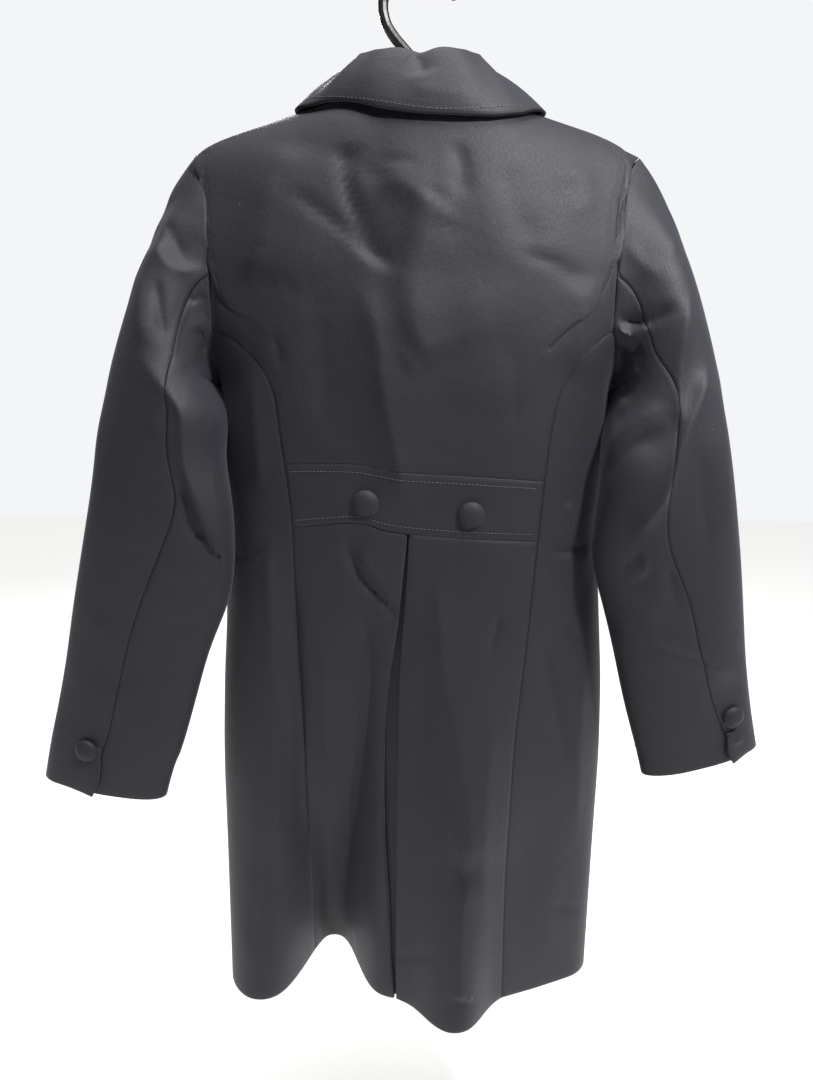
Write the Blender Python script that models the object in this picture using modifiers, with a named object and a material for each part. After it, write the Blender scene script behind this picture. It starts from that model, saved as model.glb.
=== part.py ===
# Winter coat on a plastic hanger, seen from behind in the reference view.
#
# Frame: +X to the right when the coat's back is looked at (the wearer's right), +Y from the back
# of the coat to its front, +Z up. The origin is the inner top of the hanger's hook, where a rail
# carries it. Lengths are metres. The tables are in millimetres and are scaled when they are read.
#
# The body is one hollow surface, given by level sections: a half width, a depth towards the back
# and one towards the front. Every body piece is a region of that surface between its seams, with
# the wall's thickness put on along the surface's own normals. The sleeves are tubes that start on
# the armholes.

import math

import bpy
from mathutils import Matrix, Vector
from mathutils.bvhtree import BVHTree

MM = 0.001

# Cloth
WALL = 2.0 * MM            # thickness of a body or sleeve piece
COLLAR_WALL = 2.4 * MM     # two layers of cloth, turned and pressed
SEAM_GAP = 0.3 * MM        # between neighbouring pieces
LAP_LIFT = WALL + SEAM_GAP # what lies on a piece is this far out from it

# Heights
HEM_Z = -997 * MM
UNDERARM_Z = -345 * MM
PRINCESS_TOP_Z = -295 * MM
SHOULDER_TIP_Z = -145 * MM
NECK_POINT_Z = -100 * MM
BACK_NECK_Z = -118 * MM
FRONT_NECK_Z = -188 * MM
NECK_HALF_WIDTH = 68 * MM

# Body sections from the neck down
SECTION_COLUMNS = ("z", "left", "right", "centre_y", "back", "front")
SECTIONS = (
    (-100, 68, 68, 0, 34, 34),
    (-120, 126, 126, 0, 46, 46),
    (-142, 189, 189, 0, 53, 56),
    (-146, 197, 197, 0, 54, 57),
    (-180, 203, 203, 2, 63, 70),
    (-240, 207, 207, 4, 73, 84),
    (-300, 199, 199, 6, 80, 92),
    (-350, 184, 182, 8, 82, 95),
    (-385, 188, 181, 9, 81, 93),
    (-420, 188, 181, 10, 80, 90),
    (-470, 187, 180, 11, 79, 86),
    (-560, 190, 188, 14, 80, 84),
    (-650, 197, 197, 17, 79, 84),
    (-740, 201, 201, 18, 77, 84),
    (-860, 202, 202, 20, 74, 84),
    (-1000, 203, 203, 20, 70, 84),
)

# Exponent of the sections' rounded outline, 2 for an ellipse: a ridge at the shoulders, fuller below
SQUARENESS_COLUMNS = ("z", "exponent")
SQUARENESS = ((-100, 2.0), (-120, 1.75), (-146, 1.6), (-190, 2.2), (-250, 2.6), (-1000, 2.6))

# Folds of the skirt: lines from their start down to the hem, with the depth that they reach there
FOLD_COLUMNS = ("top_z", "top_x", "hem_x", "depth", "width_left", "width_right", "sharp", "growth")
BACK_FOLDS = (
    (-520, -72, -90, 88, 29, 32, 2.6, 1.5),
    (-480, 60, 47, -45, 34, 31, 2.4, 1.3),
    (-560, -165, -174, -27, 40, 29, 2.4, 1.2),
    (-560, 170, 160, 4, 22, 22, 2.0, 1.0),
)
FRONT_FOLDS = (
    (-540, -110, -118, -16, 30, 30, 2.2, 1.2),
    (-540, 104, 112, -18, 30, 30, 2.2, 1.2),
    (-560, -45, -50, 10, 26, 26, 2.0, 1.2),
)

# Seams on the back: x along the seam at each height, left and right
PRINCESS_COLUMNS = ("z", "left", "right")
PRINCESS = (
    (-295, 180, 171),
    (-303, 164, 160),
    (-314, 150, 147),
    (-326, 138, 138),
    (-340, 128, 130),
    (-363, 124, 122),
    (-408, 118, 117),
    (-480, 112, 113),
    (-600, 111, 105),
    (-710, 110, 98),
    (-830, 110, 96),
    (-1000, 113, 99),
)
ARMHOLE_COLUMNS = ("z", "back_left", "back_right", "front")
ARMHOLES = (
    (-145, 197, 197, 197),
    (-150, 190, 190, 189),
    (-160, 187, 184, 181),
    (-181, 183, 179, 173),
    (-210, 181, 174, 168),
    (-249, 179, 171, 167),
    (-275, 180, 171, 170),
    (-295, 180, 171, 174),
    (-345, 182, 182, 182),
)
ARMHOLE_ROWS = (-295, -272, -249, -212, -182, -160, -145)
FRONT_ARMHOLE_ROWS = (-345, -332, -310, -280, -245, -212, -182, -160, -145)

# Waist band: its two seams, aslant and lifted by the fold that crosses them
BAND_COLUMNS = ("x", "top", "bottom")
BAND = (
    (-125, -413.0, -472.5),
    (-92, -411.4, -468.5),
    (-60, -411.1, -465.0),
    (-44, -412.4, -466.0),
    (-32, -414.5, -470.5),
    (-10, -417.5, -474.4),
    (10, -419.0, -476.2),
    (45, -421.2, -478.6),
    (80, -423.7, -480.5),
    (125, -427.5, -483.5),
)

# Inverted pleat: its two folded edges
PLEAT_COLUMNS = ("z", "left", "right")
PLEAT = (
    (-470, -6.3, -5.9),
    (-515, -10.6, -7.6),
    (-563, -15.4, -10.6),
    (-602, -21.0, -13.4),
    (-656, -26.5, -14.9),
    (-731, -29.5, -16.0),
    (-791, -28.7, -16.4),
    (-873, -24.4, -16.3),
    (-960, -20.4, -16.0),
    (-1000, -16.8, -15.9),
)
PLEAT_DEPTH = 44 * MM      # width of the cloth turned back on each side
UNDERLAY_EXTRA = 6 * MM    # by which the cloth behind the pleat reaches past it
FOLD_RADIUS = 1.65 * MM    # of the middle of the wall, round a pressed fold

# Front: the wearer's right side laps over the left
LAP = 30 * MM
LAP_START = 96 * MM
FRONT_LIFT = LAP_LIFT + 0.15 * MM
FRONT_BUTTON_TOP, FRONT_BUTTON_STEP, FRONT_BUTTONS = -222 * MM, 96 * MM, 5

# Sleeves: outer and inner edge of each section in the coat's plane, its depth and its seams.
# The seams are given as turns in degrees from the outer edge, over the back and over the front.
SLEEVE_COLUMNS = ("outer_x", "outer_z", "inner_x", "inner_z", "y", "half_depth", "back_seam", "front_seam")
SLEEVES = {
    "left": (
        (254, -268, 196, -346, -16, 58, 112, 125),
        (270, -320, 187, -374, -30, 50, 97, 118),
        (282, -372, 179, -406, -44, 41, 99, 112),
        (289, -417, 170, -447, -54, 34, 107, 108),
        (300, -463, 169, -493, -54, 30, 98, 106),
        (314, -512, 177, -542, -49, 27, 90, 104),
        (328, -561, 198, -592, -43, 25, 88, 102),
        (340, -609, 216, -646, -40, 23, 87, 100),
        (353, -656, 233, -699, -38, 22, 87, 98),
        (365, -697, 246, -731, -37, 21, 84, 97),
        (375, -736, 255, -760, -36, 20, 80, 96),
    ),
    "right": (
        (250, -257, 188, -348, -8, 58, 108, 125),
        (266, -314, 183, -375, -25, 48, 92, 118),
        (275, -369, 177, -408, -45, 40, 94, 112),
        (284, -418, 168, -448, -55, 34, 96, 108),
        (296, -469, 166, -494, -53, 30, 93, 106),
        (306, -514, 178, -538, -49, 27, 86, 104),
        (317, -565, 195, -591, -42, 25, 82, 102),
        (327, -612, 210, -644, -37, 23, 78, 100),
        (337, -652, 224, -688, -33, 22, 71, 98),
        (344, -678, 232, -713, -31, 21, 64, 97),
        (350, -700, 238, -734, -30, 20, 57, 96),
    ),
}
SLEEVE_SQUARENESS = 2.2
CAP_FALL = 0.45                # way the sleeve leaves the armhole: down by this for each unit out
CAP_FALL_TOP = 0.95            # and at the shoulder's tip
CAP_ROWS = (0.22, 0.46, 0.72)  # rows between the armhole and the first section
FRONT_ARMHOLE_EASE = 1.8 * MM  # further gap at the front, where the sleeve turns sharply off the body
VENT_LAP = 8 * MM
VENT_LIFT = 3.6 * MM
VENT_DROP = 1.5 * MM
VENT_TOP = 8.5                 # in rows of the sleeve table
VENT_FULL = 9.4
SLEEVE_STATIONS = (0, 1, 2, 3, 4, 5, 6, 7, 8.0, 8.5, 8.6, 8.9, 9.4, 10)
CUFF_BUTTONS = {"left": (8.7, 73, 1.1), "right": (8.0, 56, 0.4)}   # table row, turn, mm out of the wall
CUFF_BUTTON_RADIUS = 11.5 * MM

# Collar: fold line and outer edge, by the turn round the neck from the middle of the back
COLLAR_COLUMNS = ("turn", "stand", "lean", "edge_x", "edge_z_left", "edge_z_right")
COLLAR = (
    (0, 40, 6, 0, -127, -127),
    (18, 43, 6, 30, -123, -128),
    (36, 40, 7, 55, -116.5, -127.5),
    (54, 34, 9, 76, -114, -124),
    (72, 28.5, 13, 92, -114, -119),
    (90, 25.5, 16, 102, -113.5, -114.5),
    (108, 20, 13, 105, -134, -134),
    (126, 16, 6, 107, -160, -160),
    (144, 11, 4, 102, -188, -188),
    (162, 7, 2, 92, -212, -212),
    (180, 5, 1, 77, -232, -232),
)
COLLAR_EDGE_LIFT = 3.6 * MM
COLLAR_BACK_LIFT = 3.0 * MM    # by which the edge stands off further at the back
COLLAR_CENTRE_GAP = 3.0    # degrees, from the middle of the front to each end

# Buttons
BAND_BUTTONS = ((-45 * MM, -446 * MM), (50 * MM, -456 * MM))
BUTTON_RADIUS = 12.5 * MM
BUTTON_HEIGHT = 7.0 * MM
BUTTON_SIDES = 16

# Hanger
HOOK_ROD = 4.5 * MM
HOOK_RADIUS = 27 * MM + HOOK_ROD   # centre line round the rail
ARM_ROD = 4.0 * MM
ARM_CLEAR = 1.6 * MM       # between the arms and the shoulders' wall
ARM_TIP_X = 174 * MM
ARM_CENTRE_Z = -94 * MM
ARM_ROUND_X = 62 * MM
HOOK_TAIL = ((-27.0, -43.5), (-20.5, -52.0), (-12.2, -60.5), (-5.0, -68.5), (-1.0, -77.0), (0.0, -89.7))

# Grid sizes
BACK_COLUMNS = 18
NECK_COLUMNS = 6
SHOULDER_ROWS = (BACK_COLUMNS - NECK_COLUMNS) // 2
SIDE_COLUMNS = 6
SKIRT_COLUMNS = BACK_COLUMNS // 2
SKIRT_ROWS = 12
BAND_ROWS = 2
UPPER_ROWS = 5
FOLD_STEPS = 3
TURN_BACK_COLUMNS = 3

COLOURS = {
    "cloth": ((0.018, 0.018, 0.024, 1.0), 0.62),
    "button": ((0.016, 0.016, 0.021, 1.0), 0.58),
    "plastic": ((0.012, 0.012, 0.013, 1.0), 0.35),
}


def monotone_curve(xs, ys):
    """Smooth curve through points with rising xs, with no overshoot between them."""
    steps = [b - a for a, b in zip(xs, xs[1:])]
    slopes = [(q - p) / h for p, q, h in zip(ys, ys[1:], steps)]
    tangents = [slopes[0]]
    for h0, h1, s0, s1 in zip(steps, steps[1:], slopes, slopes[1:]):
        if s0 * s1 <= 0:
            tangents.append(0.0)
        else:
            w0, w1 = 2 * h1 + h0, h1 + 2 * h0
            tangents.append((w0 + w1) / (w0 / s0 + w1 / s1))
    tangents.append(slopes[-1])

    def value(x):
        x = min(max(x, xs[0]), xs[-1])
        i = next((k for k in range(len(steps)) if x <= xs[k + 1]), len(steps) - 1)
        h = steps[i]
        t = (x - xs[i]) / h
        return (ys[i] * (1 + 2 * t) * (1 - t) ** 2 + tangents[i] * h * t * (1 - t) ** 2
                + ys[i + 1] * t * t * (3 - 2 * t) + tangents[i + 1] * h * t * t * (t - 1))

    return value


def table_curves(columns, rows, key, scale=MM):
    """One curve for each column but the key, all read at the key's value."""
    k = columns.index(key)
    rows = sorted(rows, key=lambda row: row[k])
    keys = [row[k] * scale for row in rows]
    return {name: monotone_curve(keys, [row[c] * MM for row in rows])
            for c, name in enumerate(columns) if c != k}


def smooth(t):
    t = min(max(t, 0.0), 1.0)
    return t * t * (3 - 2 * t)


SECTION = table_curves(SECTION_COLUMNS, SECTIONS, "z")
PRINCESS_X = table_curves(PRINCESS_COLUMNS, PRINCESS, "z")
ARMHOLE_X = table_curves(ARMHOLE_COLUMNS, ARMHOLES, "z")
PLEAT_X = table_curves(PLEAT_COLUMNS, PLEAT, "z")
BAND_Z = table_curves(BAND_COLUMNS, BAND, "x")


SQUARE = table_curves(SQUARENESS_COLUMNS, SQUARENESS, "z")


def half_width(side, z):
    return SECTION["left" if side < 0 else "right"](z)


def exponent(z):
    return SQUARE["exponent"](z) / MM


def fold_offset(folds, x, z):
    """How far the folds carry a point of the skirt towards +Y."""
    total = 0.0
    for row in folds:
        fold = dict(zip(FOLD_COLUMNS, row))
        top = fold["top_z"] * MM
        t = min(max((top - z) / (top - HEM_Z), 0.0), 1.05)
        middle = (fold["top_x"] + (fold["hem_x"] - fold["top_x"]) * t) * MM
        side = fold["width_left"] if x < middle else fold["width_right"]
        width = side * MM * (1.35 - 0.35 * t)
        bump = math.exp(-math.log(2) * (abs(x - middle) / width) ** fold["sharp"])
        total += fold["depth"] * MM * t ** fold["growth"] * bump
    return total


def body_base(turn, z):
    """Point of the body at a turn from the middle of the back: +90 degrees is the +X side."""
    s, c = math.sin(turn), math.cos(turn)
    power = 2 / exponent(z)
    depth = abs(c) ** power
    x = half_width(s, z) * math.copysign(abs(s) ** power, s)
    y = SECTION["centre_y"](z)
    nearness = smooth(abs(c) / 0.22)
    if c > 0:
        y += -SECTION["back"](z) * depth + fold_offset(BACK_FOLDS, x, z) * nearness
    else:
        y += SECTION["front"](z) * depth - fold_offset(FRONT_FOLDS, x, z) * nearness
    return Vector((x, y, z))


def body_normal(turn, z):
    """Outward normal of the body's surface."""
    h, k = 0.012, 1.0 * MM
    along = body_base(turn + h, z) - body_base(turn - h, z)
    up = body_base(turn, min(z + k, NECK_POINT_Z)) - body_base(turn, z - k)
    return along.cross(up).normalized()


def body_point(turn, z, out=0.0):
    point = body_base(turn, z)
    return point + body_normal(turn, z) * out if out else point


def back_turn(x, z):
    """Turn of the point of the back that lies at x."""
    ratio = min(abs(x) / half_width(x, z), 1.0)
    return math.copysign(math.asin(ratio ** (exponent(z) / 2)), x)


def front_turn(x, z, side):
    """Turn of the point of the front that lies at x, counted round by way of one side."""
    return side * (math.pi - back_turn(side * x, z))


def lerp(a, b, t):
    return a + (b - a) * t


def spread(a, b, count):
    return [lerp(a, b, i / count) for i in range(count + 1)]


def patch(left, right, bottom, top):
    """Rows of (turn, z, out) that fill the region between four seams with shared corners."""
    m, n = len(left) - 1, len(bottom) - 1
    rows = []
    for j in range(m + 1):
        t = j / m
        row = []
        for i in range(n + 1):
            s = i / n
            row.append(tuple(
                lerp(bottom[i][k], top[i][k], t) + lerp(left[j][k], right[j][k], s)
                - lerp(lerp(bottom[0][k], bottom[n][k], s), lerp(top[0][k], top[n][k], s), t)
                for k in range(3)))
        rows.append(row)
    return rows


def surface_grid(rows):
    """Points and normals of a patch of the body."""
    points = [[body_point(*cell) for cell in row] for row in rows]
    normals = [[body_normal(cell[0], cell[1]) for cell in row] for row in rows]
    return points, normals


def mesh_normals(points, around=False):
    """Normals of a grid of points, from its own rows and columns."""
    m, n = len(points), len(points[0])
    normals = []
    for j in range(m):
        row = []
        for i in range(n):
            if around:
                along = points[j][(i + 1) % n] - points[j][(i - 1) % n]
            else:
                along = points[j][min(i + 1, n - 1)] - points[j][max(i - 1, 0)]
            up = points[min(j + 1, m - 1)][i] - points[max(j - 1, 0)][i]
            row.append(along.cross(up).normalized())
        normals.append(row)
    return normals


def trim_edges(points, normals, amounts):
    """Moves the four edges of a grid inwards, in the surface and square to the edge."""
    m, n = len(points) - 1, len(points[0]) - 1
    moves = {}

    def add(j, i, jn, inn, j0, i0, j1, i1, amount):
        edge = (points[j1][i1] - points[j0][i0]).normalized()
        way = points[jn][inn] - points[j][i]
        way = way - edge * way.dot(edge)
        way = way - normals[j][i] * way.dot(normals[j][i])
        if way.length > 1e-9:
            moves[j, i] = moves.get((j, i), Vector()) + way.normalized() * amount

    left, right, bottom, top = amounts
    for j in range(m + 1):
        below, above = max(j - 1, 0), min(j + 1, m)
        add(j, 0, j, 1, below, 0, above, 0, left)
        add(j, n, j, n - 1, below, n, above, n, right)
    for i in range(n + 1):
        before, after = max(i - 1, 0), min(i + 1, n)
        add(0, i, 1, i, 0, before, 0, after, bottom)
        add(m, i, m - 1, i, m, before, m, after, top)
    for (j, i), move in moves.items():
        points[j][i] = points[j][i] + move
    return points


def material(name):
    colour, roughness = COLOURS[name]
    made = bpy.data.materials.get(name)
    if made is None:
        made = bpy.data.materials.new(name)
        made.use_nodes = True
        shader = made.node_tree.nodes["Principled BSDF"]
        shader.inputs["Base Color"].default_value = colour
        shader.inputs["Roughness"].default_value = roughness
        shader.inputs["Metallic"].default_value = 0.0
    return made


def keep(obj, name, finish, collection):
    obj.name = name
    obj.data.name = name
    obj.data.materials.clear()
    obj.data.materials.append(material(finish))
    for home in list(obj.users_collection):
        home.objects.unlink(obj)
    collection.objects.link(obj)
    return obj


def wall(name, points, normals, thickness, collection, finish="cloth"):
    """Closed wall with the given thickness, half on each side of a grid of points."""
    m, n = len(points), len(points[0])
    half = thickness / 2
    outer = [[p + q * half for p, q in zip(*rows)] for rows in zip(points, normals)]
    inner = [[p - q * half for p, q in zip(*rows)] for rows in zip(points, normals)]
    verts = [v for sheet in (outer, inner) for row in sheet for v in row]

    def at(sheet, j, i):
        return sheet * m * n + j * n + i

    faces = []
    for j in range(m - 1):
        for i in range(n - 1):
            a, b, c, d = (j, i), (j, i + 1), (j + 1, i + 1), (j + 1, i)
            # The diagonal starts at the lower corner with the smaller x, so that layers that lie
            # on each other are split alike
            if points[j][i].x <= points[j][i + 1].x:
                halves = ((a, b, c), (a, c, d))
            else:
                halves = ((a, b, d), (b, c, d))
            for half_face in halves:
                faces.append([at(0, *k) for k in half_face])
                faces.append([at(1, *k) for k in reversed(half_face)])
    rim = ([(0, i) for i in range(n)] + [(j, n - 1) for j in range(1, m)]
           + [(m - 1, i) for i in range(n - 2, -1, -1)] + [(j, 0) for j in range(m - 2, 0, -1)])
    for a, b in zip(rim, rim[1:] + rim[:1]):
        faces.append([at(0, *b), at(0, *a), at(1, *a), at(1, *b)])
    mesh = bpy.data.meshes.new(name)
    mesh.from_pydata([v[:] for v in verts], [], faces)
    mesh.update()
    obj = bpy.data.objects.new(name, mesh)
    collection.objects.link(obj)
    keep(obj, name, finish, collection)
    mesh.shade_smooth()
    return obj


def body_piece(name, rows, collection, edges=(1, 1, 1, 1)):
    """Wall for a region of the body. edges says which of left, right, bottom, top are seams."""
    points, normals = surface_grid(rows)
    trim_edges(points, normals, [SEAM_GAP / 2 * e for e in edges])
    return wall(name, points, normals, WALL, collection)


def princess_heights(side):
    """Heights of the princess seam's points from the hem up: skirt, band and upper back."""
    name = "left" if side < 0 else "right"
    x = side * PRINCESS_X[name](BAND_Z["bottom"](0))
    low, high = BAND_Z["bottom"](x), BAND_Z["top"](x)
    return (spread(HEM_Z, low, SKIRT_ROWS)[:-1] + spread(low, high, BAND_ROWS)[:-1]
            + [lerp(high, PRINCESS_TOP_Z, t) for t in (0, 0.28, 0.55, 0.76, 0.9, 1.0)])


def princess_seam(side):
    name = "left" if side < 0 else "right"
    return [(back_turn(side * PRINCESS_X[name](z), z), z, 0.0) for z in princess_heights(side)]


def back_armhole(side):
    """Armhole on the back piece, from the princess seam up to the shoulder's tip."""
    name = "back_left" if side < 0 else "back_right"
    heights = [z * MM for z in ARMHOLE_ROWS]
    seam = [(back_turn(side * ARMHOLE_X[name](z), z), z, 0.0) for z in heights[:-1]]
    return seam + [(side * math.pi / 2, heights[-1], 0.0)]


def side_armhole(side):
    """Armhole on the side back piece, from the princess seam down to the side seam."""
    start = princess_seam(side)[-1][0]
    end = side * math.pi / 2
    cells = []
    for i in range(SIDE_COLUMNS + 1):
        t = i / SIDE_COLUMNS
        z = UNDERARM_Z + (PRINCESS_TOP_Z - UNDERARM_Z) * (1 - math.sin(t * math.pi / 2))
        cells.append((lerp(start, end, t), z, 0.0))
    return cells


def front_armhole(side):
    """Armhole on the front piece, from the side seam up to the shoulder's tip."""
    cells = []
    for height in FRONT_ARMHOLE_ROWS:
        z = height * MM
        if height in (FRONT_ARMHOLE_ROWS[0], FRONT_ARMHOLE_ROWS[-1]):
            cells.append((side * math.pi / 2, z, 0.0))
        else:
            cells.append((front_turn(side * ARMHOLE_X["front"](z), z, side), z, 0.0))
    return cells


def side_seam(side):
    scale = (UNDERARM_Z - HEM_Z) / (PRINCESS_TOP_Z - HEM_Z)
    return [(side * math.pi / 2, HEM_Z + (z - HEM_Z) * scale, 0.0) for z in princess_heights(side)]


def shoulder_seam(side):
    """From the shoulder's tip up to the neck point."""
    return [(side * math.pi / 2, z, 0.0) for z in spread(SHOULDER_TIP_Z, NECK_POINT_Z, SHOULDER_ROWS)]


def neck_cell(turn):
    """Neckline at a turn round the neck, from -180 to 180 degrees with 0 at the back."""
    side = 1 if turn >= 0 else -1
    angle = abs(turn)
    if angle <= 90:
        x = NECK_HALF_WIDTH * math.sin(math.radians(angle))
        z = BACK_NECK_Z + (NECK_POINT_Z - BACK_NECK_Z) * math.sin(math.radians(angle)) ** 3
        if angle == 90:
            return (side * math.pi / 2, z, 0.0)
        return (back_turn(side * x, z), z, 0.0)
    past = math.radians(angle - 90)
    x = NECK_HALF_WIDTH * math.cos(past) ** 0.9
    z = NECK_POINT_Z + (FRONT_NECK_Z - NECK_POINT_Z) * math.sin(past)
    return (front_turn(side * x, z, side), z, 0.0)


def make_back(collection):
    left = princess_seam(-1)[SKIRT_ROWS + BAND_ROWS:] + back_armhole(-1)[1:]
    right = princess_seam(1)[SKIRT_ROWS + BAND_ROWS:] + back_armhole(1)[1:]
    low = band_line("top", SKIRT_ROWS + BAND_ROWS)
    neck = [neck_cell(a) for a in spread(-90, 90, NECK_COLUMNS)]
    high = shoulder_seam(-1)[:-1] + neck + shoulder_seam(1)[::-1][1:]
    body_piece("back_upper", patch(left, right, low, high), collection)


def band_line(edge, index):
    """Seam across the back at the waist band, between the princess seams' points."""
    a, b = princess_seam(-1)[index], princess_seam(1)[index]
    x0, x1 = -PRINCESS_X["left"](a[1]), PRINCESS_X["right"](b[1])
    line = BAND_Z[edge]
    low = BAND_Z["bottom"](0)
    middle = (pleat_edge(-1, low) + pleat_edge(1, low)) / 2
    cells = []
    for x in spread(x0, middle, SKIRT_COLUMNS)[:-1] + spread(middle, x1, SKIRT_COLUMNS):
        t = (x - x0) / (x1 - x0)
        z = line(x) + lerp(a[1] - line(x0), b[1] - line(x1), t)
        cells.append((back_turn(x, z), z, 0.0))
    return cells


def make_band(collection):
    low = band_line("bottom", SKIRT_ROWS)
    high = band_line("top", SKIRT_ROWS + BAND_ROWS)
    left = princess_seam(-1)[SKIRT_ROWS:SKIRT_ROWS + BAND_ROWS + 1]
    right = princess_seam(1)[SKIRT_ROWS:SKIRT_ROWS + BAND_ROWS + 1]
    body_piece("waist_band", patch(left, right, low, high), collection)


def skirt_heights():
    """Heights of the pleat's edges from the hem up to the band."""
    top = BAND_Z["bottom"](0)
    middle = (PLEAT_X["left"](top) + PLEAT_X["right"](top)) / 2
    return spread(HEM_Z, BAND_Z["bottom"](middle), SKIRT_ROWS)


def pleat_edge(side, z):
    """Where the wall of a skirt half starts to turn under, so that its fold ends at the pleat's edge."""
    return PLEAT_X["left" if side < 0 else "right"](z) + side * (FOLD_RADIUS + WALL / 2 + SEAM_GAP / 2)


def make_skirt(side, collection):
    """Half of the back skirt, with its edge turned under at the pleat."""
    name = "left" if side < 0 else "right"
    outer_seam = princess_seam(side)[:SKIRT_ROWS + 1]
    heights = skirt_heights()
    edge_x = [pleat_edge(side, z) for z in heights]
    line = BAND_Z["bottom"]

    def across(j):
        start = side * PRINCESS_X[name](outer_seam[j][1])
        cells = []
        top_start = side * PRINCESS_X[name](outer_seam[-1][1])
        for i in range(SKIRT_COLUMNS + 1):
            t = i / SKIRT_COLUMNS
            top_x = lerp(top_start, edge_x[-1], t)
            bow = line(top_x) - lerp(line(top_start), line(edge_x[-1]), t)
            z = lerp(outer_seam[j][1], heights[j], t) + bow * smooth(j / SKIRT_ROWS)
            cells.append((back_turn(lerp(start, edge_x[j], t), z), z, 0.0))
        return cells

    rows = []
    for j, z in enumerate(heights):
        rows.append(across(j))
        x = edge_x[j]
        for k in range(1, FOLD_STEPS + 1):
            angle = math.pi * k / (FOLD_STEPS + 1)
            rows[j].append((back_turn(x - side * FOLD_RADIUS * math.sin(angle), z), z,
                            -FOLD_RADIUS * (1 - math.cos(angle))))
        for k in range(TURN_BACK_COLUMNS + 1):
            back_x = x + side * PLEAT_DEPTH * k / TURN_BACK_COLUMNS
            rows[j].append((back_turn(back_x, z), z, -2 * FOLD_RADIUS))
    if side > 0:
        rows = [row[::-1] for row in rows]
    points, normals = surface_grid(rows)
    own = mesh_normals(points)
    for j, row in enumerate(normals):
        for i in range(len(row)):
            k = i if side < 0 else len(row) - 1 - i
            if k > SKIRT_COLUMNS + FOLD_STEPS:
                row[i] = -row[i]
            elif k > SKIRT_COLUMNS:
                row[i] = own[j][i]
    edges = (1, 0, 0, 2) if side < 0 else (0, 1, 0, 2)
    trim_edges(points, normals, [SEAM_GAP / 2 * e for e in edges])
    wall("back_skirt_" + name, points, normals, WALL, collection)


def make_underlay(collection):
    """Cloth behind the pleat's opening, lying against the two turned edges."""
    out = -(2 * FOLD_RADIUS + LAP_LIFT)
    rows = []
    for z in skirt_heights():
        left, right = pleat_edge(-1, z), pleat_edge(1, z)
        xs = [left - PLEAT_DEPTH - UNDERLAY_EXTRA] + spread(left - PLEAT_DEPTH, left, TURN_BACK_COLUMNS)
        xs += spread(right, right + PLEAT_DEPTH, TURN_BACK_COLUMNS) + [right + PLEAT_DEPTH + UNDERLAY_EXTRA]
        rows.append([(back_turn(x, z), z, out) for x in xs])
    body_piece("pleat_underlay", rows, collection, edges=(0, 0, 0, 3))


def make_side_back(side, collection):
    name = "left" if side < 0 else "right"
    inner, outer = princess_seam(side), side_seam(side)
    low = [(a, HEM_Z, 0.0) for a in spread(inner[0][0], outer[0][0], SIDE_COLUMNS)]
    high = side_armhole(side)
    rows = patch(inner, outer, low, high)
    for j in range(len(rows) - 3):
        start = side * PRINCESS_X[name](inner[j][1])
        rows[j] = [(lerp(even, cell[0], 0.45), cell[1], 0.0)
                   for even, cell in zip(even_turns(start, inner[j], outer[j]), rows[j])]
    if side < 0:
        rows = [row[::-1] for row in rows]
    body_piece("side_back_" + name, rows, collection, edges=(1, 1, 0, 1))


def even_turns(start_x, inner, outer):
    """Turns from the princess seam to the side seam that are evenly spaced along the section."""
    z = (inner[1] + outer[1]) / 2
    fine = spread(inner[0], outer[0], 60)
    marks = [0.0]
    for a, b in zip(fine, fine[1:]):
        marks.append(marks[-1] + (body_base(b, z) - body_base(a, z)).length)
    turns = []
    for i in range(SIDE_COLUMNS + 1):
        want = marks[-1] * i / SIDE_COLUMNS
        k = next((k for k in range(60) if marks[k + 1] >= want - 1e-12), 59)
        t = (want - marks[k]) / max(marks[k + 1] - marks[k], 1e-12)
        turns.append(lerp(fine[k], fine[k + 1], t))
    turns[0], turns[-1] = inner[0], outer[0]
    return turns


def front_line(x, side, count, lift):
    """Column of a front at one x, from the hem to the neckline."""
    past = math.acos((abs(x) / NECK_HALF_WIDTH) ** (1 / 0.9))
    top = NECK_POINT_Z + (FRONT_NECK_Z - NECK_POINT_Z) * math.sin(past)
    return [(front_turn(x, z, side), z, lift) for z in spread(HEM_Z, top, count)]


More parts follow.
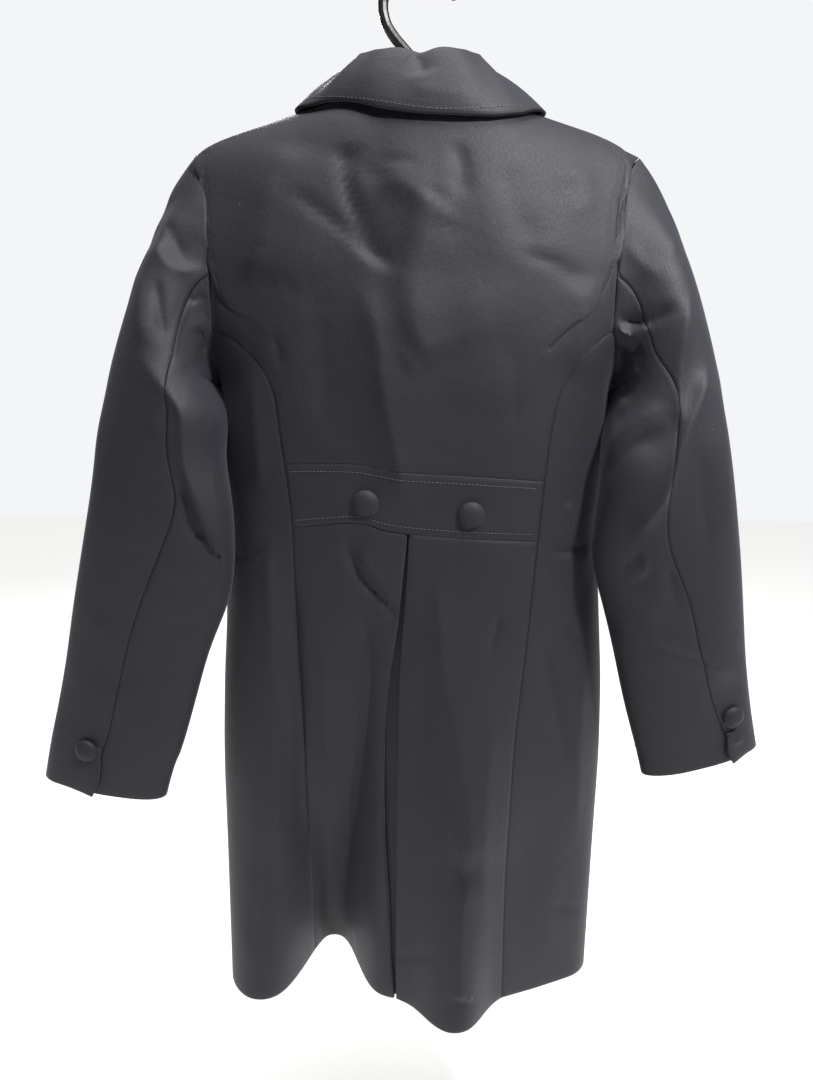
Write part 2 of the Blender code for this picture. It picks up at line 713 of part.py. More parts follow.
def make_front(side, collection):
    """Front piece from the side seam to past the middle. The +X one lies on the other."""
    name = "left" if side < 0 else "right"
    lift = FRONT_LIFT if side > 0 else 0.0
    outer = side_seam(side) + front_armhole(side)[1:]
    count = len(outer) - 1
    inner = front_line(side * LAP, side, count, lift)
    last = math.degrees(math.acos((LAP / NECK_HALF_WIDTH) ** (1 / 0.9))) + 90
    neck = [neck_cell(side * a) for a in spread(90, last, NECK_COLUMNS - 2)]
    high = shoulder_seam(side)[:-1] + neck
    columns = len(high) - 1
    low_x = [side * (LAP + (half_width(side, HEM_Z) - LAP) * math.cos(0.5 * math.pi * t))
             for t in spread(0, 1, columns)]
    low = [(front_turn(x, HEM_Z, side), HEM_Z, 0.0) for x in low_x]
    low[0] = outer[0]
    flat = [[(side * body_base(turn, z).x, z, 0.0) for turn, z, _ in line]
            for line in (outer, inner, low, high)]
    rows = [[(front_turn(side * x, z, side), z, 0.0) for x, z, _ in row] for row in patch(*flat)]
    lap = [front_line(x, side, count, lift) for x in (0.0, -side * LAP)]
    lifted = []
    for j, row in enumerate(rows):
        cells = []
        for turn, z, out in row[:-1]:
            x = side * body_base(turn, z).x
            cells.append((turn, z, lift * smooth((LAP_START - x) / (LAP_START - 1.35 * LAP))))
        lifted.append(cells + [inner[j]] + [column[j] for column in lap])
    if side > 0:
        body_piece("front_" + name, lifted, collection, edges=(1, 0, 0, 1))
    else:
        body_piece("front_" + name, [row[::-1] for row in lifted], collection, edges=(0, 1, 0, 1))


def armhole_loop(side):
    """Points round an armhole from the shoulder's tip over the back, with the way out of the body."""
    back = back_armhole(side)[::-1]
    under = side_armhole(side)[1:]
    front = front_armhole(side)[1:-1]
    cells = back + under + front
    points = [body_point(*cell) for cell in cells]
    normals = [body_normal(cell[0], cell[1]) for cell in cells]
    loop = []
    for i, (point, normal) in enumerate(zip(points, normals)):
        along = (points[(i + 1) % len(points)] - points[i - 1]).normalized()
        loop.append((point, along.cross(normal).normalized() * -side))
    return loop


def sleeve_section(name, station):
    """Values of the sleeve table at a station between its rows."""
    rows = SLEEVES[name]
    i = min(int(station), len(rows) - 2)
    t = station - i
    before, after = rows[max(i - 1, 0)], rows[min(i + 2, len(rows) - 1)]
    values = []
    for a, b, c, d in zip(before, rows[i], rows[i + 1], after):
        m0, m1 = (c - a) / 2, (d - b) / 2
        values.append(b * (1 + 2 * t) * (1 - t) ** 2 + m0 * t * (1 - t) ** 2
                      + c * t * t * (3 - 2 * t) + m1 * t * t * (t - 1))
    return dict(zip(SLEEVE_COLUMNS, values))


def sleeve_point(name, station, turn, out=0.0):
    """Point of a sleeve at a turn in degrees from its outer edge, over the back."""
    row = sleeve_section(name, station)
    side = -1 if name == "left" else 1
    outer = Vector((side * row["outer_x"], row["y"], row["outer_z"])) * MM
    inner = Vector((side * row["inner_x"], row["y"], row["inner_z"])) * MM
    centre, reach = (outer + inner) / 2, (outer - inner) / 2
    c, s = math.cos(math.radians(turn)), math.sin(math.radians(turn))
    power = 2 / SLEEVE_SQUARENESS
    c = math.copysign(abs(c) ** power, c)
    s = math.copysign(abs(s) ** power, s)
    point = centre + reach * c + Vector((0, -row["half_depth"] * MM * s, 0))
    if out:
        point += (reach.normalized() * c + Vector((0, -s, 0))).normalized() * out
    return point


def sleeve_turns(name, station, back_count, under_count, front_count):
    """Turns of a section's points: outer edge to back seam, to front seam, to outer edge."""
    row = sleeve_section(name, station)
    back, front = row["back_seam"], 360 - row["front_seam"]
    return (spread(0, back, back_count)[:-1] + spread(back, front, under_count)[:-1]
            + spread(front, 360, front_count)[:-1])


def sleeve_tube(side):
    """Rows of points of a whole sleeve, with the columns of its two seams."""
    name = "left" if side < 0 else "right"
    loop = armhole_loop(side)
    total = len(loop)
    back_seam = ARMHOLE_ROWS[::-1].index(-249)
    front_seam = total - 4
    counts = (back_seam, front_seam - back_seam, total - front_seam)
    stations = SLEEVE_STATIONS
    sections = [[sleeve_point(name, s, a) for a in sleeve_turns(name, s, *counts)] for s in stations]

    def cap(t, a, b, c):
        reach = (b - a).length
        top = smooth((a.z - SHOULDER_TIP_Z) / (50 * MM) + 1)
        out = Vector((side, 0, -lerp(CAP_FALL, CAP_FALL_TOP, top))).normalized() * reach * lerp(0.95, 0.9, top)
        down = (c - b).normalized() * reach * 0.9
        return (a * (1 + 2 * t) * (1 - t) ** 2 + out * t * (1 - t) ** 2
                + b * t * t * (3 - 2 * t) + down * t * t * (t - 1))

    start = []
    for (point, away), b, c in zip(loop, sections[0], sections[1]):
        onward = (cap(CAP_ROWS[0], point, b, c) - point).normalized()
        bend = away.cross(onward).length
        clear = SEAM_GAP + WALL / 2 * (1.25 * bend + 2 * max(-away.dot(onward), 0.0))
        clear += FRONT_ARMHOLE_EASE * smooth(point.y / (40 * MM))
        start.append(point + away * clear)
    rows = [start] + [[cap(t, *ends) for ends in zip(start, sections[0], sections[1])] for t in CAP_ROWS]
    rows += sections
    return rows, back_seam, front_seam


def make_sleeve(side, collection):
    name = "left" if side < 0 else "right"
    rows, back_seam, front_seam = sleeve_tube(side)
    normals = mesh_normals(rows, around=True)
    centre = sum(rows[-1], Vector()) / len(rows[-1])
    if normals[-1][0].dot(rows[-1][0] - centre) < 0:
        normals = [[-n for n in row] for row in normals]
    total = len(rows[0])
    upper = list(range(front_seam, total)) + list(range(0, back_seam + 1))
    under = list(range(back_seam, front_seam + 1))
    first = len(CAP_ROWS) + 1
    for piece, columns in (("sleeve_upper_", upper), ("sleeve_under_", under)):
        points = [[row[i].copy() for i in columns] for row in rows]
        piece_normals = [[row[i] for i in columns] for row in normals]
        trim_edges(points, piece_normals, [0.7 * SEAM_GAP, 0.7 * SEAM_GAP, 0, 0])
        if columns is upper:
            for j, station in enumerate(SLEEVE_STATIONS):
                if station <= VENT_TOP:
                    continue
                full = smooth((station - VENT_TOP - 0.1) / (VENT_FULL - VENT_TOP - 0.1))
                row, normal = points[first + j], piece_normals[first + j][-1]
                way = (row[-1] - row[-2]).normalized()
                row[-1] += way * VENT_LAP * full + normal * lerp(LAP_LIFT, VENT_LIFT, full)
            points[-1][-1] += (points[-1][-1] - points[-2][-1]).normalized() * VENT_DROP
        if side < 0:
            points = [row[::-1] for row in points]
            piece_normals = [row[::-1] for row in piece_normals]
        points, piece_normals = points[::-1], piece_normals[::-1]
        along = points[0][1] - points[0][0]
        up = points[1][0] - points[0][0]
        if along.cross(up).dot(piece_normals[0][0]) < 0:
            points = [row[::-1] for row in points]
            piece_normals = [row[::-1] for row in piece_normals]
        wall(piece + name, points, piece_normals, WALL, collection)


def neck_knots():
    """Turns of the corners of the body's neck edge, on one side."""
    last = math.degrees(math.acos((LAP / NECK_HALF_WIDTH) ** (1 / 0.9))) + 90
    return spread(0, 90, NECK_COLUMNS // 2) + spread(90, last, NECK_COLUMNS - 2)[1:] + [180.0]


def collar_turns():
    """Turns of the collar's sections, with one at each corner of the neck edge."""
    knots = neck_knots()
    half = []
    for a, b in zip(knots, knots[1:]):
        half += spread(a, b, 3 if b - a > 20 else 2)[:-1]
    half.append(180.0)
    return [-a for a in half[::-1]] + half[1:]


def neck_edge(turn):
    """Point of the body's neck edge, on the straight pieces between the edge's own corners."""
    side = 1 if turn >= 0 else -1
    knots = neck_knots()
    angle = abs(turn)
    k = next((k for k in range(len(knots) - 2) if angle <= knots[k + 1]), len(knots) - 2)
    t = (angle - knots[k]) / (knots[k + 1] - knots[k])
    ends = []
    for knot in (knots[k], knots[k + 1]):
        cell = neck_cell(side * knot)
        lift = FRONT_LIFT * smooth((LAP_START - abs(body_base(cell[0], cell[1]).x))
                                   / (LAP_START - 1.35 * LAP)) if side > 0 and knot > 90 else 0.0
        ends.append(body_point(cell[0], cell[1], lift))
    return ends[0].lerp(ends[1], t)


def yoke_tree():
    """Surface of the shoulders, for keeping the collar off it."""
    turns = [math.radians(a) for a in spread(-180, 180, 96)]
    heights = spread(-300 * MM, NECK_POINT_Z, 50)
    points = [body_base(a, z) for z in heights for a in turns]
    n = len(turns)
    faces = [(j * n + i, j * n + i + 1, (j + 1) * n + i + 1, (j + 1) * n + i)
             for j in range(len(heights) - 1) for i in range(n - 1)]
    return BVHTree.FromPolygons(points, faces)


def held_off(point, tree, distance):
    """The point, moved out where it is nearer to the surface than the distance."""
    place_on, normal, _, away = tree.find_nearest(point)
    height = (point - place_on).dot(normal)
    return point + normal * max(distance - height, 0.0)


def collar_section(turn, values, tree):
    """Middle line of the collar at a turn round the neck, from its seam over the fold to its edge."""
    side = 1 if turn >= 0 else -1
    angle = abs(turn)
    row = {name: curve(angle) for name, curve in values.items()}
    base = neck_edge(side * min(angle, 180 - COLLAR_CENTRE_GAP))
    outward = Vector((math.sin(math.radians(turn)), -math.cos(math.radians(turn)), 0))
    slope = min(1.0, 0.33 + 0.67 * abs(math.cos(math.radians(turn))))
    up = Vector((0, 0, 1))
    base += up * MM * (1.3 + 1.3 * (1 - slope) + 2.2 * smooth((angle - 80) / 20))
    crest = base + up * row["stand"] - outward * row["lean"]
    if angle > 90:
        crest += outward * (1.2 * MM) * smooth((angle - 90) / 60)
    edge_x, edge_z = side * row["edge_x"], row["edge_z_left" if side < 0 else "edge_z_right"]
    if angle < 84:
        edge_turn = back_turn(edge_x, edge_z)
    elif angle <= 96:
        edge_turn = side * math.pi / 2
    else:
        edge_turn = front_turn(edge_x, edge_z, side)
    extra = 1.2 * MM * math.exp(-((angle - 96) / 14) ** 2) + COLLAR_BACK_LIFT * smooth((80 - angle) / 60)
    if angle > 96:
        extra += FRONT_LIFT * smooth((LAP_START + 20 * MM - row["edge_x"]) / (LAP_START + 20 * MM - 1.35 * LAP))
    edge = body_point(edge_turn, edge_z, COLLAR_EDGE_LIFT + extra)
    gap = 2.3 * MM
    inner_top = crest - outward * gap - up * 2.2 * MM
    outer_top = crest + outward * gap - up * 2.2 * MM
    line = [base, base.lerp(inner_top, 0.5), inner_top, crest, outer_top]
    fall = edge - outer_top
    swell = (outward + up * 0.7).normalized() * 0.05 * fall.length
    for t in (0.2, 0.4, 0.6, 0.8, 1.0):
        line.append(held_off(outer_top + fall * t + swell * math.sin(math.pi * t), tree,
                             COLLAR_EDGE_LIFT + extra))
    return line


def make_collar(collection):
    values = table_curves(COLLAR_COLUMNS, COLLAR, "turn", scale=1.0)
    turns = collar_turns()
    tree = yoke_tree()
    rows = [collar_section(turn, values, tree) for turn in turns]
    points = [list(column) for column in zip(*rows)]
    points = points[::-1]
    normals = mesh_normals(points)
    middle = len(points[0]) // 2
    if normals[1][middle].y > 0:
        points = [row[::-1] for row in points]
        normals = mesh_normals(points)
    wall("collar", points, normals, COLLAR_WALL, collection)


def place(obj, point, normal):
    """Puts an object's +Z on a normal at a point."""
    turn = Vector((0, 0, 1)).rotation_difference(normal).to_matrix().to_4x4()
    obj.matrix_world = Matrix.Translation(point) @ turn


def make_button(name, point, normal, radius, collection):
    """Cloth-covered button: a turned dome over a flat back."""
    h = BUTTON_HEIGHT * radius / BUTTON_RADIUS
    profile = [(0.0, h), (0.45, 0.94 * h), (0.8, 0.72 * h), (0.97, 0.45 * h), (1.0, 0.3 * h),
               (0.86, 0.14 * h), (0.5, 0.0), (0.0, 0.0)]
    mesh = bpy.data.meshes.new(name)
    verts = [(r * radius, 0.0, z) for r, z in profile]
    mesh.from_pydata(verts, [(i, i + 1) for i in range(len(verts) - 1)], [])
    obj = bpy.data.objects.new(name, mesh)
    collection.objects.link(obj)
    turned = obj.modifiers.new("turned", "SCREW")
    turned.steps = turned.render_steps = BUTTON_SIDES
    turned.use_merge_vertices = True
    turned.merge_threshold = 0.00005
    keep(obj, name, "button", collection)
    place(obj, point + normal * (WALL / 2 + SEAM_GAP), normal)
    return obj


def make_buttons(collection):
    for name, (x, z) in zip(("button_band_left", "button_band_right"), BAND_BUTTONS):
        turn = back_turn(x, z)
        make_button(name, body_point(turn, z), body_normal(turn, z), BUTTON_RADIUS, collection)
    for i in range(FRONT_BUTTONS):
        z = FRONT_BUTTON_TOP - i * FRONT_BUTTON_STEP
        turn = front_turn(0.0, z, 1)
        make_button("button_front_%d" % (i + 1), body_point(turn, z, FRONT_LIFT), body_normal(turn, z),
                    BUTTON_RADIUS, collection)
    for name, (station, turn, out) in CUFF_BUTTONS.items():
        point = sleeve_point(name, station, turn)
        along = sleeve_point(name, station, turn + 6) - sleeve_point(name, station, turn - 6)
        up = sleeve_point(name, station - 0.2, turn) - sleeve_point(name, station + 0.2, turn)
        normal = along.cross(up).normalized()
        if normal.y > 0:
            normal = -normal
        make_button("button_cuff_" + name, point + normal * out * MM, normal, CUFF_BUTTON_RADIUS, collection)


def rod(name, points, radius, collection, resolution=2):
    """Round rod along a list of points, with filled ends."""
    curve = bpy.data.curves.new(name, "CURVE")
    curve.dimensions = "3D"
    curve.bevel_depth = radius
    curve.bevel_resolution = resolution
    curve.use_fill_caps = True
    spline = curve.splines.new("POLY")
    spline.points.add(len(points) - 1)
    for target, point in zip(spline.points, points):
        target.co = (*point, 1.0)
    obj = bpy.data.objects.new(name, curve)
    collection.objects.link(obj)
    return keep(obj, name, "plastic", collection)


def through(points, steps):
    """Points of a smooth curve through a list of points."""
    made = []
    for i in range(len(points) - 1):
        p0, p1 = points[max(i - 1, 0)], points[i]
        p2, p3 = points[i + 1], points[min(i + 2, len(points) - 1)]
        for k in range(steps):
            t = k / steps
            m0, m1 = (p2 - p0) / 2, (p3 - p1) / 2
            made.append(p1 * (1 + 2 * t) * (1 - t) ** 2 + m0 * t * (1 - t) ** 2
                        + p2 * t * t * (3 - 2 * t) + m1 * t * t * (t - 1))
    return made + [points[-1]]


def make_hanger(collection):
    """Arms that carry the shoulders, and the hook above them."""
    slope = (NECK_POINT_Z - SHOULDER_TIP_Z) / (half_width(1, SHOULDER_TIP_Z) - NECK_HALF_WIDTH)
    tilt = math.hypot(1.0, slope)
    drop = (WALL / 2 + ARM_CLEAR + ARM_ROD) * tilt

    def arm(x):
        ridge = NECK_POINT_Z - slope * (abs(x) - NECK_HALF_WIDTH)
        return min(ridge, NECK_POINT_Z + 40 * MM) - drop

    side_points = [Vector((x, 0, arm(x))) for x in spread(ARM_TIP_X, ARM_ROUND_X, 4)]
    centre = Vector((0, 0, ARM_CENTRE_Z))
    half = side_points + [Vector((30 * MM, 0, lerp(ARM_CENTRE_Z, arm(ARM_ROUND_X), 0.34)))]
    line = half + [centre] + [Vector((-p.x, 0, p.z)) for p in half[::-1]]
    rod("hanger_arms", through(line, 2), ARM_ROD, collection, resolution=3)

    ring_centre = Vector((0, 0, HOOK_ROD - HOOK_RADIUS))
    arc = []
    for degrees in spread(12, 200, 16):
        a = math.radians(degrees)
        arc.append(ring_centre + Vector((math.cos(a), 0, math.sin(a))) * HOOK_RADIUS)
    tail = through([arc[-1]] + [Vector((x, 0, z)) * MM for x, z in HOOK_TAIL], 2)[1:]
    rod("hanger_hook", arc + tail, HOOK_ROD, collection, resolution=3)


def main():
    for obj in list(bpy.data.objects):
        bpy.data.objects.remove(obj, do_unlink=True)
    collection = bpy.data.collections.new("winter_coat_on_hanger")
    bpy.context.scene.collection.children.link(collection)
    make_back(collection)
    make_band(collection)
    make_underlay(collection)
    for side in (-1, 1):
        make_skirt(side, collection)
        make_side_back(side, collection)
        make_front(side, collection)
        make_sleeve(side, collection)
    make_collar(collection)
    make_buttons(collection)
    make_hanger(collection)


main()
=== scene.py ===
import math
import random
import bpy
import numpy as np
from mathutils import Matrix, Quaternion, Vector
from mathutils.bvhtree import BVHTree
from mathutils.kdtree import KDTree


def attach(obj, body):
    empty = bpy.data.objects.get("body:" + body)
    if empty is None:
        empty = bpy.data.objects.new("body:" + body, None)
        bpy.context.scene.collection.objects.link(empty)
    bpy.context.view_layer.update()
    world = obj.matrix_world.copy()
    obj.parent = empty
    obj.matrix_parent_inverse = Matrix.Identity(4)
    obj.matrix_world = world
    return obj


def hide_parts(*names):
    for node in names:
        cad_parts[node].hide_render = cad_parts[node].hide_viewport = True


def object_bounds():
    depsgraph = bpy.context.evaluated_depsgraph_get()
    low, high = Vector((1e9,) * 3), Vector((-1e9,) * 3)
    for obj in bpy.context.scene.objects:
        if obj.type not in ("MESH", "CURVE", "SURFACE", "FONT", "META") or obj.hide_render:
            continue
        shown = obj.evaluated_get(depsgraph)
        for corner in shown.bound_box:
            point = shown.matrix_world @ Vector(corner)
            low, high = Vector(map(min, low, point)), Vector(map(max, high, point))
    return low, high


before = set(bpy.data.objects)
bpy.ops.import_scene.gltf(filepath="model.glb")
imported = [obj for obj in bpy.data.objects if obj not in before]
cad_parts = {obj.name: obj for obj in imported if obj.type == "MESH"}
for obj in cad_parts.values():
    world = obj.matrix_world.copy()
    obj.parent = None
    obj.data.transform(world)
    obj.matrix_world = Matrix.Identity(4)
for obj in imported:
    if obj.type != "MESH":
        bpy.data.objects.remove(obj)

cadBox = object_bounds()
scene = bpy.context.scene
mm = 0.001

# Camera

cameraSet = {
    "place": (-0.0079, -0.73, -0.321),
    "pitch": 13.5,       # degrees down
    "roll": 0.45,
    "lens": 25.0,
    "sensor": 36.0,
    "picture": (813, 1080),
}


def makeCamera(settings):
    data = bpy.data.cameras.new("photoCamera")
    data.lens = settings["lens"]
    data.sensor_width = settings["sensor"]
    camera = bpy.data.objects.new("photoCamera", data)
    scene.collection.objects.link(camera)
    camera.rotation_mode = "QUATERNION"
    camera.rotation_quaternion = (Quaternion((1, 0, 0), math.radians(90 - settings["pitch"]))
                                  @ Quaternion((0, 0, 1), math.radians(settings["roll"])))
    camera.location = settings["place"]
    scene.camera = camera


def toPicture(points):
    # where the camera shows each point, in pixels, and how many pixels a millimetre is there
    s = cameraSet
    d = points - np.array(s["place"])
    pitch = math.radians(s["pitch"])
    roll = math.radians(s["roll"])
    focal = s["lens"] / s["sensor"] * max(s["picture"])
    ahead = d[:, 1] * math.cos(pitch) - d[:, 2] * math.sin(pitch)
    up = d[:, 1] * math.sin(pitch) + d[:, 2] * math.cos(pitch)
    a = d[:, 0] / ahead * focal
    b = up / ahead * focal
    u = s["picture"][0] / 2 + a * math.cos(roll) + b * math.sin(roll)
    v = s["picture"][1] / 2 - (-a * math.sin(roll) + b * math.cos(roll))
    return np.stack([u, v], 1), focal / (ahead * 1000)


makeCamera(cameraSet)
print("camera set")

# Floor, backdrop and light

stageSet = {
    "floorDrop": 0.42,          # below the hem
    "floorSize": 9.0,
    "floorColour": (0.80, 0.80, 0.79),
    "world": (0.93, 0.94, 0.96),
    "seen": 0.97,               # how bright the room looks
    "cast": 0.08,               # and how much light it casts
}

lightSet = [
    {"name": "ceilingLight", "place": (0.15, -0.60, 1.75), "aim": (0.05, -0.25, -0.60), "size": 1.4,
     "watts": 14.0, "colour": (1.0, 0.985, 0.96)},
    {"name": "keyLight", "place": (0.62, -0.66, 0.50), "aim": (0.0, 0.0, -0.50), "size": 0.16,
     "watts": 24.0, "colour": (1.0, 0.985, 0.96)},
    {"name": "rightLight", "place": (1.9, -0.60, 0.25), "aim": (0.0, 0.0, -0.50), "size": 0.6,
     "watts": 6.0, "colour": (1.0, 0.985, 0.97)},
    {"name": "frontLight", "place": (-0.5, 2.0, 0.8), "aim": (0.0, 0.0, -0.45), "size": 0.9,
     "watts": 42.0, "colour": (1.0, 0.99, 0.98)},
]

sunSet = {"name": "floorLight", "tilt": 6.0, "spread": 40.0, "strength": 3.3}


def makeStage(settings):
    bpy.ops.object.select_all(action="DESELECT")
    bpy.ops.mesh.primitive_grid_add(x_subdivisions=12, y_subdivisions=12, size=settings["floorSize"],
                                    location=(0, 0, cadBox[0][2] - settings["floorDrop"]))
    floor = bpy.context.active_object
    floor.name = "paleFloor"
    bpy.ops.object.transform_apply(location=True, rotation=True, scale=True)
    world = bpy.data.worlds.new("paleRoom")
    scene.world = world
    world.use_nodes = True
    tree = world.node_tree
    back = tree.nodes["Background"]
    back.inputs["Color"].default_value = (*settings["world"], 1)
    rays = tree.nodes.new("ShaderNodeLightPath")
    strength = tree.nodes.new("ShaderNodeMapRange")
    strength.inputs["To Min"].default_value = settings["cast"]
    strength.inputs["To Max"].default_value = settings["seen"]
    tree.links.new(rays.outputs["Is Camera Ray"], strength.inputs["Value"])
    tree.links.new(strength.outputs["Result"], back.inputs["Strength"])
    return floor


def makeLights(lights):
    for entry in lights:
        data = bpy.data.lights.new(entry["name"], "AREA")
        data.shape = "DISK"
        data.size = entry["size"]
        data.energy = entry["watts"]
        data.color = entry["colour"]
        light = bpy.data.objects.new(entry["name"], data)
        light.location = entry["place"]
        light.rotation_mode = "QUATERNION"
        light.rotation_quaternion = (Vector(entry["aim"]) - Vector(entry["place"])).to_track_quat("-Z", "Y")
        scene.collection.objects.link(light)


def makeSun(settings):
    # straight down, so that it lights the floor evenly and only grazes the coat
    data = bpy.data.lights.new(settings["name"], "SUN")
    data.angle = math.radians(settings["spread"])
    data.energy = settings["strength"]
    light = bpy.data.objects.new(settings["name"], data)
    light.rotation_euler = (math.radians(settings["tilt"]), 0, 0)
    scene.collection.objects.link(light)


scene.view_settings.view_transform = "Standard"
floor = makeStage(stageSet)
makeLights(lightSet)
makeSun(sunSet)
print("floor and lights set")

# Materials


class Value:
    # one socket of a material's maths, so that sums are written as sums

    def __init__(self, tree, socket):
        self.tree = tree
        self.socket = socket

    def put(self, operation, *others):
        node = self.tree.nodes.new("ShaderNodeMath")
        node.operation = operation
        for place, value in enumerate(others):
            if isinstance(value, Value):
                self.tree.links.new(value.socket, node.inputs[place])
            else:
                node.inputs[place].default_value = value
        return Value(self.tree, node.outputs[0])

    def __add__(self, other):
        return self.put("ADD", self, other)

    __radd__ = __add__

    def __mul__(self, other):
        return self.put("MULTIPLY", self, other)

    __rmul__ = __mul__

    def __sub__(self, other):
        return self.put("SUBTRACT", self, other)

    def __rsub__(self, other):
        return self.put("SUBTRACT", other, self)

    def __truediv__(self, other):
        return self.put("DIVIDE", self, other)

    def __pow__(self, other):
        return self.put("POWER", self, other)

    def clip(self):
        return self.put("MAXIMUM", self.put("MINIMUM", self, 1.0), 0.0)


class Finish:
    # a material with its Principled shader

    def __init__(self, name, **fixed):
        self.material = bpy.data.materials.new(name)
        self.material.use_nodes = True
        self.tree = self.material.node_tree
        self.shader = self.tree.nodes["Principled BSDF"]
        for socket, value in fixed.items():
            self.shader.inputs[socket.replace("_", " ")].default_value = value

    def node(self, kind, settings=None, inputs=None, output=0):
        node = self.tree.nodes.new(kind)
        for key, value in (settings or {}).items():
            if key == "stops":
                ramp = node.color_ramp
                while len(ramp.elements) < len(value):
                    ramp.elements.new(0.5)
                for element, (place, colour) in zip(ramp.elements, value):
                    element.position = place
                    element.color = colour
            else:
                setattr(node, key, value)
        for key, value in (inputs or {}).items():
            if isinstance(value, Value):
                self.tree.links.new(value.socket, node.inputs[key])
            else:
                node.inputs[key].default_value = value
        return Value(self.tree, node.outputs[output])

    def grain(self, stretch=(1, 1, 1), turn=0.0, uv=True):
        where = self.node("ShaderNodeTexCoord", output="UV" if uv else "Object")
        return self.node("ShaderNodeMapping", {"vector_type": "POINT"},
                         {"Vector": where, "Scale": stretch, "Rotation": (0, 0, turn)})

    def noise(self, where, scale, detail=2.0, rough=0.5):
        return self.node("ShaderNodeTexNoise", {"noise_dimensions": "3D"},
                         {"Vector": where, "Scale": scale, "Detail": detail, "Roughness": rough})

    def blend(self, share, first, second):
        return self.node("ShaderNodeMix", {"data_type": "RGBA"},
                         {"Factor": share, 6: first, 7: second}, output=2)

    def bump(self, height, distance, strength=1.0, normal=None):
        inputs = {"Height": height, "Distance": distance, "Strength": strength}
        if normal is not None:
            inputs["Normal"] = normal
        return self.node("ShaderNodeBump", None, inputs)

    def feed(self, socket, value):
        self.tree.links.new(value.socket, self.shader.inputs[socket])


clothSet = {
    "dark": (0.0080, 0.0082, 0.0120, 1),
    "light": (0.0175, 0.0178, 0.0245, 1),
    "lint": (0.20, 0.20, 0.21, 1),
    "rough": 0.60,
    "sheen": 0.12,
    "threads": 620.0,      # twill lines in a metre, each way
    "slub": 260.0,
}


def makeCloth(name, settings, uv=True):
    cloth = Finish(name, Specular_IOR_Level=0.27, Sheen_Weight=settings["sheen"], Sheen_Roughness=0.45,
                   Sheen_Tint=(0.72, 0.74, 0.86, 1))
    flat = cloth.grain(uv=uv)
    twill = cloth.grain(turn=math.radians(38), uv=uv)
    lines = cloth.node("ShaderNodeTexWave", {"wave_type": "BANDS", "bands_direction": "X", "wave_profile": "SIN"},
                       {"Vector": twill, "Scale": settings["threads"] / 6.28 * 2.0, "Distortion": 1.2, "Detail": 1.0,
                        "Detail Scale": 2.0})
    slub = cloth.noise(cloth.grain((1.0, 0.35, 1.0), uv=uv), settings["slub"] * 3.0, 2.0, 0.6)
    cross = cloth.noise(cloth.grain((0.35, 1.0, 1.0), uv=uv), settings["slub"] * 3.0, 2.0, 0.6)
    mottle = cloth.noise(flat, 9.0, 3.0, 0.55)
    soft = cloth.noise(flat, 34.0, 4.0, 0.6)
    specks = cloth.node("ShaderNodeTexVoronoi", {"feature": "F1"},
                        {"Vector": flat, "Scale": 70.0, "Randomness": 1.0}, output="Distance")
    rare = cloth.noise(flat, 23.0, 0.0)
    lint = (1.0 - specks / 0.055).clip() * ((rare - 0.62) * 14.0).clip()
    shade = ((lines - 0.5) * 0.16 + (slub - 0.5) * 0.75 + (cross - 0.5) * 0.6 + (mottle - 0.5) * 0.5 + 0.45).clip()
    colour = cloth.blend(shade, settings["dark"], settings["light"])
    cloth.feed("Roughness", (slub - 0.5) * 0.22 + (mottle - 0.5) * 0.14 + settings["rough"])
    weave = cloth.bump(lines * 0.35 + slub * 0.8 + cross * 0.8, 0.00022, 0.55)
    wrinkled = cloth.bump(soft, 0.0022, 0.30, weave)
    if uv:
        edge = cloth.node("ShaderNodeAttribute", {"attribute_name": "edge"}, output="Fac")
        roll = ((edge / 0.0030).clip() ** 0.5) + (edge / 0.009).clip() * 0.5
        wrinkled = cloth.bump(roll, 0.0011, 0.9, wrinkled)
        # painted shade: within 1.6 mm of each panel's cut edge the cloth's colour is blended towards near black,
        # standing in for the shade that falls into the seams
        colour = cloth.blend((1.0 - edge / 0.0016).clip() * 0.75, colour, (0.004, 0.004, 0.006, 1))
    cloth.feed("Base Color", cloth.blend(lint * 0.55, colour, settings["lint"]))
    cloth.feed("Normal", wrinkled)
    return cloth.material


plasticSet = {
    "colour": (0.012, 0.012, 0.013, 1),
    "worn": (0.030, 0.030, 0.031, 1),
    "rough": 0.30,
}


def makePlastic(name, settings):
    plastic = Finish(name, Specular_IOR_Level=0.5)
    place = plastic.grain(uv=False)
    cloud = plastic.noise(place, 42.0, 3.0, 0.6)
    scratch = plastic.noise(plastic.grain((1, 1, 0.15), uv=False), 620.0, 2.0, 0.7)
    plastic.feed("Base Color", plastic.blend((cloud * 1.4 - 0.4).clip(), settings["colour"], settings["worn"]))
    plastic.feed("Roughness", cloud * 0.16 + (scratch - 0.5) * 0.10 + settings["rough"])
    plastic.feed("Normal", plastic.bump(scratch + cloud, 0.0002, 0.35))
    return plastic.material


threadSet = {
    "colour": (0.030, 0.030, 0.040, 1),
    "light": (0.062, 0.062, 0.076, 1),
}


def makeThread(name, settings):
    thread = Finish(name, Specular_IOR_Level=0.5, Sheen_Weight=0.3)
    place = thread.grain(uv=False)
    strand = thread.node("ShaderNodeTexWave", {"wave_type": "BANDS", "bands_direction": "DIAGONAL"},
                         {"Vector": place, "Scale": 900.0, "Distortion": 0.5})
    thread.feed("Base Color", thread.blend(strand, settings["colour"], settings["light"]))
    thread.feed("Roughness", strand * 0.2 + 0.42)
    thread.feed("Normal", thread.bump(strand, 0.0001, 0.5))
    return thread.material


def makeFloorFinish(name, colour):
    pale = Finish(name, Specular_IOR_Level=0.2)
    cloud = pale.noise(pale.grain(uv=False), 3.0, 2.0)
    pale.feed("Roughness", cloud * 0.1 + 0.7)
    pale.feed("Base Color", pale.blend(cloud * 0.1, (*colour, 1), (0.76, 0.76, 0.75, 1)))
    return pale.material


